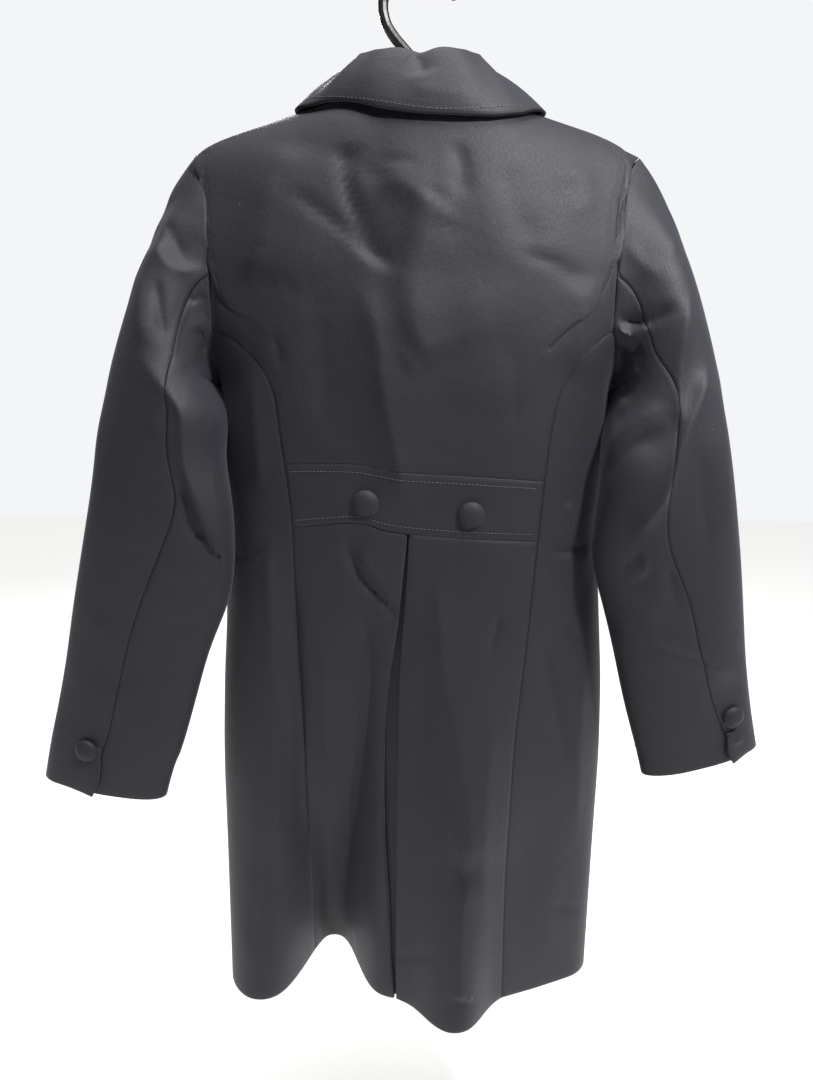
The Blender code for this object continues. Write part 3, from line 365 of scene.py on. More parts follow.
coatCloth = makeCloth("coatCloth", clothSet)
buttonCloth = makeCloth("buttonCloth", {**clothSet, "rough": 0.64, "sheen": 0.10}, uv=False)
blackPlastic = makePlastic("blackPlastic", plasticSet)
seamThread = makeThread("seamThread", threadSet)
floor.data.materials.append(makeFloorFinish("paleFloorFinish", stageSet["floorColour"]))
print("materials made")

# Creases: where they run in the picture, from the top down, and how far they stand out (high, in mm, below
# zero for a trough), how wide they are to the picture's left and right, and how round their crest is

creaseSet = {
    "backNear": [
        # the long arc from the neck to the waist, a step up to the right
        {"line": [(372, 178), (390, 181), (406, 187), (417, 199), (421, 216), (415, 243), (405, 272), (409, 308),
                  (419, 343), (430, 372)], "high": 3.4, "left": 10, "right": 46, "crest": 1.5, "ends": (0.12, 0.12)},
        {"line": [(402, 345), (409, 360), (418, 376)], "high": 1.4, "left": 4, "right": 4, "crest": 0.6},
        # the deep trough from the collar
        {"line": [(341, 140), (346, 175), (353, 208), (366, 238), (384, 262), (404, 276)], "high": -3.4, "left": 5,
         "right": 15, "crest": 0.8, "ends": (0.12, 0.2)},
        {"line": [(349, 160), (357, 186), (368, 212)], "high": 1.6, "left": 5, "right": 7, "crest": 0.8},
        # the vertical fold down to the band
        {"line": [(352, 268), (368, 305), (378, 345), (383, 390), (391, 430), (399, 470), (404, 520)], "high": 4.6,
         "left": 19, "right": 44, "crest": 1.6, "ends": (0.25, 0.2)},
        {"line": [(290, 186), (304, 200), (322, 213), (346, 231), (366, 250), (383, 265)], "high": -2.0, "left": 4,
         "right": 5, "crest": 0.6, "ends": (0.15, 0.15)},
        {"line": [(283, 138), (279, 155), (270, 175), (261, 206), (256, 250), (247, 286)], "high": 3.6, "left": 9,
         "right": 26, "crest": 1.4, "ends": (0.15, 0.2)},
        {"line": [(374, 163), (396, 160), (420, 163)], "high": -0.9, "left": 4, "right": 3, "crest": 0.6},
        {"line": [(360, 166), (380, 176), (398, 184)], "high": -1.0, "left": 4, "right": 4, "crest": 0.6},
        {"line": [(414, 192), (432, 201), (444, 206)], "high": 1.5, "left": 4, "right": 4, "crest": 0.6},
        {"line": [(426, 188), (435, 196), (444, 203)], "high": -1.4, "left": 3, "right": 3, "crest": 0.5},
        {"line": [(430, 204), (446, 218), (458, 232)], "high": 1.4, "left": 5, "right": 3, "crest": 0.6},
        {"line": [(436, 218), (450, 227), (461, 237)], "high": -1.2, "left": 3, "right": 3, "crest": 0.5},
        {"line": [(455, 138), (461, 160), (463, 180), (467, 200)], "high": -2.0, "left": 6, "right": 5, "crest": 1.2},
        {"line": [(262, 270), (267, 282), (272, 294)], "high": -1.1, "left": 3, "right": 3, "crest": 0.5},
        {"line": [(283, 272), (288, 286), (294, 298)], "high": -1.1, "left": 3, "right": 3, "crest": 0.5},
        {"line": [(500, 150), (512, 190), (524, 226), (540, 256)], "high": -1.8, "left": 14, "right": 18, "crest": 4},
        {"line": [(518, 243), (535, 256), (556, 264), (574, 278), (584, 292)], "high": -1.3, "left": 5, "right": 6,
         "crest": 1},
        {"line": [(584, 270), (584, 310), (580, 345), (572, 385)], "high": 3.0, "left": 16, "right": 12, "crest": 3},
        {"line": [(569, 174), (571, 186), (573, 200)], "high": -1.4, "left": 4, "right": 4, "crest": 0.6},
        {"line": [(578, 160), (584, 178), (588, 200), (584, 224)], "high": 1.8, "left": 7, "right": 4, "crest": 1},
        {"line": [(511, 330), (514, 380), (518, 440)], "high": -0.8, "left": 8, "right": 8, "crest": 2},
        {"line": [(272, 330), (278, 350), (279, 372)], "high": -1.4, "left": 5, "right": 7, "crest": 1},
        {"line": [(288, 420), (300, 413), (320, 408)], "high": 0.8, "left": 5, "right": 4, "crest": 1},
        {"line": [(300, 250), (318, 320), (326, 400), (330, 455)], "high": -1.6, "left": 16, "right": 20, "crest": 6},
        {"line": [(470, 260), (474, 340), (470, 430)], "high": 1.6, "left": 30, "right": 34, "crest": 10},
    ],
    "skirtNear": [
        {"line": [(342, 533), (350, 556), (360, 578), (378, 596), (399, 620)], "high": -2.4, "left": 5, "right": 8,
         "crest": 0.6, "ends": (0.2, 0.1)},
        {"line": [(354, 545), (366, 566), (380, 586), (396, 606)], "high": 2.0, "left": 5, "right": 9, "crest": 0.8},
        {"line": [(362, 600), (366, 650), (364, 710), (356, 790), (348, 860), (342, 926)], "high": -4.4, "left": 15,
         "right": 12, "crest": 2, "ends": (0.2, 0.15)},
        {"line": [(322, 620), (326, 700), (328, 790), (326, 860)], "high": 1.8, "left": 10, "right": 10, "crest": 3},
        {"line": [(330, 836), (336, 872), (330, 905)], "high": -1.3, "left": 5, "right": 6, "crest": 1},
        {"line": [(430, 560), (439, 610), (442, 665), (452, 720), (461, 770), (470, 830), (472, 872)], "high": 3.6,
         "left": 19, "right": 34, "crest": 2, "ends": (0.25, 0.1)},
        {"line": [(441, 795), (450, 824), (462, 852), (471, 880)], "high": 1.6, "left": 4, "right": 6, "crest": 0.6},
        {"line": [(452, 860), (458, 875), (464, 892)], "high": -1.4, "left": 3, "right": 3, "crest": 0.6},
        {"line": [(472, 870), (463, 905), (460, 950), (460, 1000)], "high": 2.6, "left": 10, "right": 22, "crest": 2,
         "ends": (0.2, 0.02)},
        {"line": [(498, 612), (496, 632), (488, 656)], "high": -1.6, "left": 6, "right": 7, "crest": 1},
        {"line": [(388, 960), (412, 958), (440, 956)], "high": -1.0, "left": 3, "right": 3, "crest": 0.5},
        {"line": [(410, 690), (420, 740), (424, 800)], "high": -1.4, "left": 9, "right": 9, "crest": 3},
        {"line": [(496, 700), (488, 780), (484, 860), (484, 940)], "high": 1.0, "left": 10, "right": 9, "crest": 4},
    ],
    "sideNear": [
        {"line": [(268, 520), (271, 600), (273, 700), (276, 800), (278, 880)], "high": 3.2, "left": 17, "right": 8,
         "crest": 2.5, "ends": (0.15, 0.2)},
        {"line": [(294, 560), (298, 640), (300, 720), (299, 800), (304, 880)], "high": -3.2, "left": 8, "right": 9,
         "crest": 2, "ends": (0.2, 0.2)},
        {"line": [(290, 724), (280, 744), (284, 764)], "high": -1.2, "left": 4, "right": 4, "crest": 0.8},
        {"line": [(248, 560), (258, 552), (272, 540)], "high": -1.6, "left": 5, "right": 4, "crest": 1},
        {"line": [(232, 552), (246, 560), (262, 558)], "high": -1.5, "left": 5, "right": 4, "crest": 1},
        {"line": [(250, 360), (256, 430), (262, 500)], "high": 2.2, "left": 12, "right": 10, "crest": 4},
        {"line": [(546, 545), (566, 551), (590, 546)], "high": -2.2, "left": 5, "right": 5, "crest": 0.8},
        {"line": [(566, 500), (570, 516), (566, 534)], "high": 1.6, "left": 5, "right": 5, "crest": 1},
        {"line": [(538, 628), (544, 652), (552, 690), (560, 730), (573, 772)], "high": -2.0, "left": 6, "right": 10,
         "crest": 1},
        {"line": [(560, 620), (574, 636), (586, 640)], "high": -1.2, "left": 4, "right": 4, "crest": 0.8},
        {"line": [(590, 640), (580, 720), (578, 800), (574, 860)], "high": 1.6, "left": 12, "right": 8, "crest": 3},
        {"line": [(552, 902), (566, 908), (582, 911)], "high": -0.9, "left": 4, "right": 4, "crest": 0.8},
        {"line": [(262, 840), (256, 900), (252, 960)], "high": -1.2, "left": 8, "right": 9, "crest": 3},
    ],
    "leftSleeveNear": [
        {"line": [(136, 345), (152, 382), (165, 408), (174, 438), (185, 470), (197, 504), (213, 540), (226, 564)],
         "high": 5.0, "left": 8, "right": 26, "crest": 0.8, "ends": (0.2, 0.1)},
        {"line": [(138, 262), (137, 290), (138, 318), (144, 350)], "high": 2.4, "left": 5, "right": 10, "crest": 0.8},
        {"line": [(176, 474), (188, 508), (205, 540), (223, 566)], "high": -4.6, "left": 8, "right": 6, "crest": 0.8,
         "ends": (0.25, 0.1)},
        {"line": [(180, 514), (190, 530), (202, 544)], "high": -2.4, "left": 3, "right": 4, "crest": 0.5},
        {"line": [(152, 230), (165, 260), (184, 270), (206, 264)], "high": 3.2, "left": 13, "right": 5, "crest": 0.8},
        {"line": [(161, 214), (173, 238), (181, 256), (190, 262)], "high": -2.4, "left": 4, "right": 9, "crest": 0.8},
        {"line": [(185, 300), (196, 299), (206, 293)], "high": -1.8, "left": 3, "right": 3, "crest": 0.5},
        {"line": [(156, 274), (159, 310), (164, 344)], "high": -2.4, "left": 6, "right": 5, "crest": 1},
        {"line": [(196, 326), (201, 342), (198, 356)], "high": -3.0, "left": 4, "right": 4, "crest": 1},
        {"line": [(152, 384), (146, 410), (150, 440)], "high": 1.6, "left": 5, "right": 5, "crest": 1},
        {"line": [(165, 556), (186, 572), (216, 572)], "high": 1.8, "left": 6, "right": 6, "crest": 1},
        {"line": [(152, 620), (174, 626), (202, 622)], "high": -1.3, "left": 5, "right": 6, "crest": 1},
        {"line": [(112, 470), (132, 520), (140, 560)], "high": 1.4, "left": 10, "right": 8, "crest": 2},
        {"line": [(84, 610), (104, 630), (122, 648)], "high": 1.2, "left": 8, "right": 8, "crest": 2},
        {"line": [(96, 690), (120, 700), (150, 690)], "high": 0.9, "left": 9, "right": 8, "crest": 3},
    ],
    "rightSleeveNear": [
        {"line": [(712, 360), (701, 396), (689, 424), (679, 450), (671, 474), (661, 498), (645, 520), (630, 541)],
         "high": 5.0, "left": 10, "right": 9, "crest": 0.6, "ends": (0.15, 0.15)},
        {"line": [(692, 284), (688, 320), (682, 354), (678, 392), (680, 432)], "high": 3.2, "left": 12, "right": 6,
         "crest": 0.7, "ends": (0.25, 0.15)},
        {"line": [(682, 308), (668, 312), (650, 321), (632, 322), (614, 314)], "high": -3.6, "left": 5, "right": 4,
         "crest": 0.8},
        {"line": [(614, 324), (630, 336), (645, 328), (656, 328)], "high": 2.4, "left": 3, "right": 3, "crest": 0.5},
        {"line": [(614, 350), (630, 352), (644, 346)], "high": -3.2, "left": 6, "right": 6, "crest": 1},
        {"line": [(612, 380), (626, 376), (640, 366)], "high": 2.8, "left": 5, "right": 5, "crest": 0.8},
        {"line": [(610, 398), (624, 396), (636, 386)], "high": -3.6, "left": 4, "right": 4, "crest": 0.8},
        {"line": [(607, 414), (620, 408), (633, 403)], "high": 2.4, "left": 3, "right": 3, "crest": 0.5},
        {"line": [(604, 428), (616, 420), (628, 412)], "high": -3.2, "left": 6, "right": 4, "crest": 0.8},
        {"line": [(671, 430), (645, 443), (620, 466), (600, 490)], "high": -4.4, "left": 9, "right": 9, "crest": 1.5},
        {"line": [(668, 404), (644, 416), (618, 440), (604, 462)], "high": 2.6, "left": 8, "right": 8, "crest": 1.5},
        {"line": [(646, 553), (634, 562), (622, 573)], "high": -2.2, "left": 4, "right": 5, "crest": 0.8},
        {"line": [(660, 573), (642, 582), (622, 591)], "high": -1.8, "left": 5, "right": 6, "crest": 0.8},
        {"line": [(650, 562), (640, 572), (624, 582)], "high": 1.8, "left": 4, "right": 4, "crest": 0.8},
        {"line": [(606, 626), (638, 638), (662, 648), (697, 661), (718, 667), (744, 680)], "high": 4.2, "left": 32,
         "right": 6, "crest": 0.8, "ends": (0.15, 0.25)},
        {"line": [(608, 606), (634, 612), (662, 624)], "high": 1.8, "left": 6, "right": 8, "crest": 1.5},
        {"line": [(668, 566), (674, 590), (682, 612)], "high": -2.0, "left": 8, "right": 5, "crest": 2},
        {"line": [(700, 440), (704, 500), (712, 570)], "high": -1.4, "left": 8, "right": 10, "crest": 3},
        {"line": [(724, 400), (728, 470), (732, 540)], "high": 1.2, "left": 8, "right": 8, "crest": 3},
        {"line": [(674, 200), (676, 230), (672, 262)], "high": 1.6, "left": 10, "right": 8, "crest": 2},
        {"line": [(626, 240), (640, 262), (662, 280)], "high": 1.2, "left": 8, "right": 8, "crest": 2},
        {"line": [(727, 732), (734, 741), (744, 741)], "high": 1.4, "left": 3, "right": 3, "crest": 0.5},
    ],
    "collarNear": [
        {"line": [(412, 52), (420, 62), (424, 76)], "high": -2.0, "left": 9, "right": 8, "crest": 3},
        {"line": [(400, 84), (440, 92), (490, 96)], "high": 0.8, "left": 10, "right": 10, "crest": 4},
    ],
    "far": [
        {"line": [(300, 180), (340, 260), (360, 340)], "high": 2.6, "left": 14, "right": 10, "crest": 3},
        {"line": [(520, 170), (490, 250), (470, 350)], "high": -2.6, "left": 12, "right": 14, "crest": 3},
        {"line": [(280, 420), (330, 450), (380, 455)], "high": 1.8, "left": 8, "right": 8, "crest": 2},
        {"line": [(560, 430), (510, 458), (450, 470)], "high": 1.8, "left": 8, "right": 8, "crest": 2},
        {"line": [(300, 560), (310, 680), (300, 820)], "high": 2.0, "left": 16, "right": 16, "crest": 6},
        {"line": [(520, 600), (510, 720), (520, 860)], "high": -2.0, "left": 16, "right": 14, "crest": 6},
        {"line": [(340, 640), (372, 700), (384, 780)], "high": 1.4, "left": 9, "right": 9, "crest": 3},
        {"line": [(150, 340), (172, 420), (196, 500)], "high": 3.2, "left": 9, "right": 7, "crest": 2},
        {"line": [(140, 470), (170, 500), (200, 520)], "high": -2.4, "left": 7, "right": 7, "crest": 2},
        {"line": [(120, 600), (150, 620), (190, 640)], "high": 1.8, "left": 10, "right": 8, "crest": 3},
        {"line": [(690, 350), (672, 420), (640, 500)], "high": 3.0, "left": 9, "right": 7, "crest": 2},
        {"line": [(620, 470), (650, 490), (690, 500)], "high": -2.2, "left": 8, "right": 7, "crest": 2},
        {"line": [(610, 610), (660, 640), (720, 660)], "high": 2.0, "left": 10, "right": 10, "crest": 3},
    ],
}

# How deep each group of creases is cut
deepSet = {"backNear": 1.6, "skirtNear": 1.9, "sideNear": 1.8, "leftSleeveNear": 1.35, "rightSleeveNear": 1.5,
           "collarNear": 1.3, "far": 1.6}

# Where a sleeve is pushed against the body: the height of the middle, its spread, the push across and back, and
# the distance from the coat's middle up to which all of it goes, with the fade beyond
pushSet = {
    "leftSleeve": {"side": -1, "height": -0.366, "spread": 0.034, "across": 0.014, "back": 0.004, "edge": 0.215,
                   "fade": 0.040},
    "rightSleeve": {"side": 1, "height": -0.392, "spread": 0.038, "across": 0.008, "back": 0.005, "edge": 0.180,
                    "fade": 0.040},
}

rippleSet = {"high": 0.45, "waves": 22, "shortest": 34.0, "longest": 120.0, "seed": 5}


def smoothLine(points, steps=7):
    # a curve through the points
    p = [np.array(q, float) for q in points]
    p = [2 * p[0] - p[1]] + p + [2 * p[-1] - p[-2]]
    line = []
    for i in range(1, len(p) - 2):
        for k in range(steps):
            t = k / steps
            line.append(0.5 * (2 * p[i] + (p[i + 1] - p[i - 1]) * t
                               + (2 * p[i - 1] - 5 * p[i] + 4 * p[i + 1] - p[i + 2]) * t * t
                               + (3 * p[i] - p[i - 1] - 3 * p[i + 1] + p[i + 2]) * t ** 3))
    line.append(p[-2])
    return np.array(line)


def ease(t):
    t = np.clip(t, 0, 1)
    return t * t * (3 - 2 * t)


profileSet = {"fall": 0.75, "reach": 3.2, "fade": 2.2, "ends": (0.3, 0.3)}     # shares of a crease's width


def creaseHeight(pixels, scale, crease):
    # how far one crease lifts each point, in mm
    line = smoothLine(crease["line"])
    reach = profileSet["reach"] * max(crease["left"], crease["right"]) * 1.15 + 4      # in pixels, with room to spare
    low, high = line.min(0) - reach, line.max(0) + reach
    near = np.nonzero(((pixels > low) & (pixels < high)).all(1))[0]
    lift = np.zeros(len(pixels))
    if not len(near):
        return lift
    q = pixels[near]
    best = np.full(len(q), 1e9)
    side = np.zeros(len(q))
    along = np.zeros(len(q))
    steps = np.linalg.norm(np.diff(line, axis=0), axis=1)
    run = np.concatenate([[0], np.cumsum(steps)])
    for i in range(len(line) - 1):
        a, b = line[i], line[i + 1]
        t = (b - a) / steps[i]
        f = np.clip((q - a) @ t, 0, steps[i])
        gap = q - (a + f[:, None] * t)
        distance = np.hypot(gap[:, 0], gap[:, 1])
        closer = distance < best
        best[closer] = distance[closer]
        side[closer] = (t[1] * gap[:, 0] - t[0] * gap[:, 1])[closer]
        along[closer] = ((run[i] + f) / run[-1])[closer]
    best /= scale[near]
    width = np.where(side < 0, crease["left"], crease["right"])
    crest = crease["crest"]
    profile = np.exp(-(np.sqrt(best ** 2 + crest ** 2) - crest) / (width * profileSet["fall"]))
    profile *= ease((width * profileSet["reach"] - best) / (width * profileSet["fade"]))
    start, end = crease.get("ends", profileSet["ends"])
    lift[near] = crease["high"] * profile * ease(along / start) * ease((1 - along) / end)
    return lift


def ripple(points, settings):
    # slow uneven waves all over
    chance = random.Random(settings["seed"])
    lift = np.zeros(len(points))
    for _ in range(settings["waves"]):
        length = chance.uniform(settings["shortest"], settings["longest"]) * mm
        turn = chance.uniform(0, math.pi)
        way = np.array([math.cos(turn), 0.35 * chance.uniform(-1, 1), math.sin(turn) * 0.6])
        lift += np.sin(points @ way * (2 * math.pi / length) + chance.uniform(0, 6.28)) * length
    return lift / (settings["waves"] ** 0.5 * 0.07) * settings["high"]


# Cloth pieces: each CAD node's form as a fine thin shell. "turn" is the angle in degrees past which a cut edge
# stays sharp, and "fine" the levels of subdivision

weldGap = 0.02 * mm
pieceSet = {
    "back_upper": {"fine": 3, "part": "body", "near": ("backNear", "sideNear")},
    "waist_band": {"fine": 3, "part": "body", "near": ("backNear", "skirtNear")},
    "pleat_underlay": {"turn": 50, "fine": 2, "part": "body", "near": ()},
    "back_skirt_left": {"turn": 50, "fine": 3, "part": "body", "near": ("backNear", "skirtNear", "sideNear")},
    "back_skirt_right": {"turn": 50, "fine": 3, "part": "body", "near": ("backNear", "skirtNear", "sideNear")},
    "side_back_left": {"fine": 3, "part": "body", "near": ("backNear", "sideNear", "skirtNear")},
    "side_back_right": {"fine": 3, "part": "body", "near": ("backNear", "sideNear", "skirtNear")},
    "front_left": {"fine": 2, "part": "body", "near": (), "far": ("far",)},
    "front_right": {"fine": 2, "part": "body", "near": (), "far": ("far",)},
    "sleeve_upper_left": {"fine": 3, "part": "leftSleeve", "near": ("leftSleeveNear",), "far": ("far",)},
    "sleeve_under_left": {"fine": 3, "part": "leftSleeve", "near": ("leftSleeveNear",), "far": ("far",)},
    "sleeve_upper_right": {"fine": 3, "part": "rightSleeve", "near": ("rightSleeveNear",), "far": ("far",)},
    "sleeve_under_right": {"fine": 3, "part": "rightSleeve", "near": ("rightSleeveNear",), "far": ("far",)},
    "collar": {"turn": 50, "fine": 3, "part": "collar", "near": ("collarNear",)},
}


def pickOnly(obj):
    bpy.ops.object.select_all(action="DESELECT")
    obj.select_set(True)
    bpy.context.view_layer.objects.active = obj


def camel(node):
    first, *rest = node.split("_")
    return first + "".join(word.capitalize() for word in rest)


def coordinates(mesh):
    flat = np.empty(len(mesh.vertices) * 3)
    mesh.vertices.foreach_get("co", flat)
    return flat.reshape(-1, 3)


def facesOnEdges(mesh):
    faces = {}
    for face in mesh.polygons:
        for key in face.edge_keys:
            faces.setdefault(key, []).append(face.index)
    return faces


def creaseEdges(mesh, turn, wall=3.0 * mm):
    # the cut edges of the cloth, where a face is no wider than the wall is thick, keep their corners
    faces = facesOnEdges(mesh)
    thin = {}
    for face in mesh.polygons:
        points = [mesh.vertices[v].co for v in face.vertices]
        thin[face.index] = min((points[i] - points[i - 1]).length for i in range(len(points))) < wall
    crease = mesh.attributes.new("crease_edge", "FLOAT", "EDGE")
    for edge in mesh.edges:
        pair = faces.get(tuple(sorted(edge.vertices)), [])
        if len(pair) != 2:
            continue
        one, two = (mesh.polygons[i].normal for i in pair)
        if one.angle(two, 0.0) > math.radians(turn) and (thin[pair[0]] or thin[pair[1]]):
            crease.data[edge.index].value = 1.0
            edge.use_seam = True


def keepForm(piece, rounds=5):
    # subdivision draws a form in, so its control points are moved out until the smooth cloth meets the CAD's
    mesh = piece.data
    target = coordinates(mesh)
    smooth = piece.modifiers.new("trial", "SUBSURF")
    smooth.levels = smooth.render_levels = 1
    for _ in range(rounds):
        bpy.context.view_layer.update()
        shown = piece.evaluated_get(bpy.context.evaluated_depsgraph_get())
        reached = coordinates(shown.to_mesh())[:len(target)]
        shown.to_mesh_clear()
        control = coordinates(mesh) + (target - reached) * 0.9
        mesh.vertices.foreach_set("co", control.ravel())
        mesh.update()
    piece.modifiers.remove(smooth)
    print(piece.name, "meets its form within %.2f mm" % (np.abs(target - reached).max() * 1000))


def islands(mesh):
    # the groups of faces that hang together between the seams
    owner = facesOnEdges(mesh)
    seams = {tuple(sorted(edge.vertices)) for edge in mesh.edges if edge.use_seam}
    seen = set()
    for face in mesh.polygons:
        if face.index in seen:
            continue
        island = []
        wait = [face.index]
        seen.add(face.index)
        while wait:
            current = wait.pop()
            island.append(current)
            for key in mesh.polygons[current].edge_keys:
                if key in seams:
                    continue
                for other in owner[key]:
                    if other not in seen:
                        seen.add(other)
                        wait.append(other)
        yield island


def layGrain(mesh):
    # unwrapped flat, then turned and sized so that the pattern is in metres with the grain along the length;
    # gives the width, length and area of the cut
    bpy.ops.object.mode_set(mode="EDIT")
    bpy.ops.mesh.select_all(action="SELECT")
    bpy.ops.uv.unwrap(method="ANGLE_BASED", margin=0.01)
    bpy.ops.object.mode_set(mode="OBJECT")
    layer = mesh.uv_layers.active.data
    cut = (0, 0, 0)
    for island in islands(mesh):
        loops = [i for f in island for i in mesh.polygons[f].loop_indices]
        spots = np.array([layer[i].uv for i in loops])
        places = np.array([mesh.vertices[mesh.loops[i].vertex_index].co for i in loops])
        real = flat = 0.0
        for f in island:
            ring = list(mesh.polygons[f].loop_indices)
            for i, j in zip(ring, ring[1:] + ring[:1]):
                real += (mesh.vertices[mesh.loops[i].vertex_index].co
                         - mesh.vertices[mesh.loops[j].vertex_index].co).length
                flat += (layer[i].uv - layer[j].uv).length
        size = real / max(flat, 1e-9)
        fit = np.linalg.lstsq(np.c_[spots, np.ones(len(spots))], places[:, 2], rcond=None)[0]
        turn = math.atan2(fit[0], fit[1])
        c, s = math.cos(turn), math.sin(turn)
        spots = (spots - spots.mean(0)) @ np.array([[c, s], [-s, c]]) * size
        for i, spot in zip(loops, spots):
            layer[i].uv = spot
        width, length = spots.max(0) - spots.min(0)
        area = sum(mesh.polygons[f].area for f in island)
        if area > cut[2]:
            cut = (width, length, area)
    return cut


def makeShell(node, settings):
    piece = bpy.data.objects.new(camel(node) + "Cloth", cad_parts[node].data.copy())
    scene.collection.objects.link(piece)
    pickOnly(piece)
    mesh = piece.data
    bpy.ops.object.mode_set(mode="EDIT")
    bpy.ops.mesh.select_all(action="SELECT")
    bpy.ops.mesh.remove_doubles(threshold=weldGap)
    bpy.ops.mesh.customdata_custom_splitnormals_clear()
    bpy.ops.mesh.tris_convert_to_quads(face_threshold=math.radians(40), shape_threshold=math.radians(70))
    bpy.ops.object.mode_set(mode="OBJECT")
    for layer in list(mesh.uv_layers):
        mesh.uv_layers.remove(layer)
    mesh.uv_layers.new(name="grain")
    creaseEdges(mesh, settings.get("turn", 32))
    cut = layGrain(mesh)
    keepForm(piece)
    smooth = piece.modifiers.new("smooth", "SUBSURF")
    smooth.levels = settings["fine"]
    smooth.render_levels = settings["fine"]
    bpy.ops.object.modifier_apply(modifier=smooth.name)
    mesh.materials.clear()
    mesh.materials.append(coatCloth)
    return piece, cut


def middleLine(names, steps=46):
    # the middle and half the depth of a part at each height, to tell its near side from its far one
    points = np.concatenate([coordinates(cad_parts[n].data) for n in names])
    heights = np.linspace(points[:, 2].min(), points[:, 2].max(), steps)
    step = heights[1] - heights[0]
    rows = []
    for z in heights:
        band = points[np.abs(points[:, 2] - z) < step * 1.6]
        low, high = band[:, 1].min(), band[:, 1].max()
        rows.append((z, (low + high) / 2, (high - low) / 2))
    return np.array(rows)


def makeMiddles():
    groups = {}
    for node, settings in pieceSet.items():
        groups.setdefault(settings["part"], []).append(node)
    return {part: middleLine(names) for part, names in groups.items() if part != "collar"}


sideSet = {
    "collarFront": 0.02,        # the collar's creases end before this depth
    "collarFade": 0.05,
    "bare": 0.05,               # share of the depth about the middle with no creases
    "fade": 0.4,
    "thinnest": 0.008,
}


def foldCloth(piece, settings, middles):
    mesh = piece.data
    points = coordinates(mesh)
    keepAttribute(mesh, "edge", edgeDistance(mesh, points))
    pixels, scale = toPicture(points)
    if settings["part"] == "collar":
        near = ease((sideSet["collarFront"] - points[:, 1]) / sideSet["collarFade"])
        far = np.zeros(len(points))
    else:
        rows = middles[settings["part"]]
        middle = np.interp(points[:, 2], rows[:, 0], rows[:, 1])
        depth = np.maximum(np.interp(points[:, 2], rows[:, 0], rows[:, 2]), sideSet["thinnest"])
        place = (points[:, 1] - middle) / depth
        near = ease((-place - sideSet["bare"]) / sideSet["fade"])
        far = ease((place - sideSet["bare"]) / sideSet["fade"])
    lift = np.zeros(len(points))
    for name in settings["near"]:
        for crease in creaseSet[name]:
            lift -= creaseHeight(pixels, scale, crease) * near * deepSet[name]
    for name in settings.get("far", ()):
        for crease in creaseSet[name]:
            lift += creaseHeight(pixels, scale, crease) * far * deepSet[name]
    wave = ripple(points, rippleSet)
    lift += wave * far - wave * near
    points[:, 1] += lift * mm
    push = pushSet.get(settings["part"])
    if push:
        share = np.exp(-((points[:, 2] - push["height"]) / push["spread"]) ** 2)
        share *= ease((push["edge"] + push["fade"] - points[:, 0] * push["side"]) / push["fade"])
        points[:, 0] -= push["side"] * push["across"] * share
        points[:, 1] -= push["back"] * share
    mesh.vertices.foreach_set("co", points.ravel())
    mesh.update()


def edgeDistance(mesh, points, turn=50):
    # how far each point of the cloth lies from its panel's cut edge, in metres
    owner = facesOnEdges(mesh)
    normals = np.empty(len(mesh.polygons) * 3)
    mesh.polygons.foreach_get("normal", normals)
    normals = normals.reshape(-1, 3)
    keys = np.array([k for k, v in owner.items() if len(v) == 2])
    pairs = np.array([v for v in owner.values() if len(v) == 2])
    sharp = (normals[pairs[:, 0]] * normals[pairs[:, 1]]).sum(1) < math.cos(math.radians(turn))
    rim = np.unique(keys[sharp])
    tree = KDTree(len(rim))
    for i, index in enumerate(rim):
        tree.insert(points[index], i)
    tree.balance()
    return np.array([tree.find(p)[2] for p in points])


def keepAttribute(mesh, name, values):
    layer = mesh.attributes.new(name, "FLOAT", "POINT")
    layer.data.foreach_set("value", np.asarray(values, dtype=np.float32))


def finishCloth(piece, node, cut):
    pickOnly(piece)
    bpy.ops.object.shade_smooth_by_angle(angle=math.radians(48))
    width, length, area = cut
    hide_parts(node)
    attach(piece, "root")
    real = sum(face.area for face in piece.data.polygons) / 2
    min(real, width * length)
    print(node, "cut %.3f x %.3f m, %.4f m2," % cut, len(piece.data.polygons), "faces")


middles = makeMiddles()
clothPieces = {}
for node, settings in pieceSet.items():
    piece, cut = makeShell(node, settings)
    foldCloth(piece, settings, middles)
    finishCloth(piece, node, cut)
    clothPieces[node] = piece
print("cloth made")

# Rows of topstitching: each stitch is a short round end of thread, laid on the cloth. Lengths are in mm. "rows"
# are across and up on the coat, "pictureRows" are pixels of the photo

stitchSet = {
    "waistBandStitches": {
        "piece": "waist_band", "long": 2.5, "gap": 1.1, "radius": 0.34, "sunk": 0.15,
        "rows": [
            [(-122, -419.8), (-92, -418.3), (-60, -418.0), (-44, -419.3), (-32, -421.4), (-10, -424.4), (10, -425.9),
             (45, -428.1), (80, -430.6), (122, -434.2)],
            [(-122, -465.8), (-92, -462.0), (-60, -458.5), (-44, -459.5), (-32, -464.0), (-10, -467.9), (10, -469.7),
             (45, -472.1), (80, -474.0), (122, -476.8)],
        ],
    },
    "collarStitches": {
        "piece": "collar", "long": 2.6, "gap": 1.2, "radius": 0.34, "sunk": 0.15,
        "pictureRows": [
            [(303, 102), (312, 98), (334, 96.6), (360, 98.4), (387, 102), (416, 106.4), (441, 108.6), (467, 108.2),
             (494, 106.4), (526, 105.6)],
        ],
    },
}


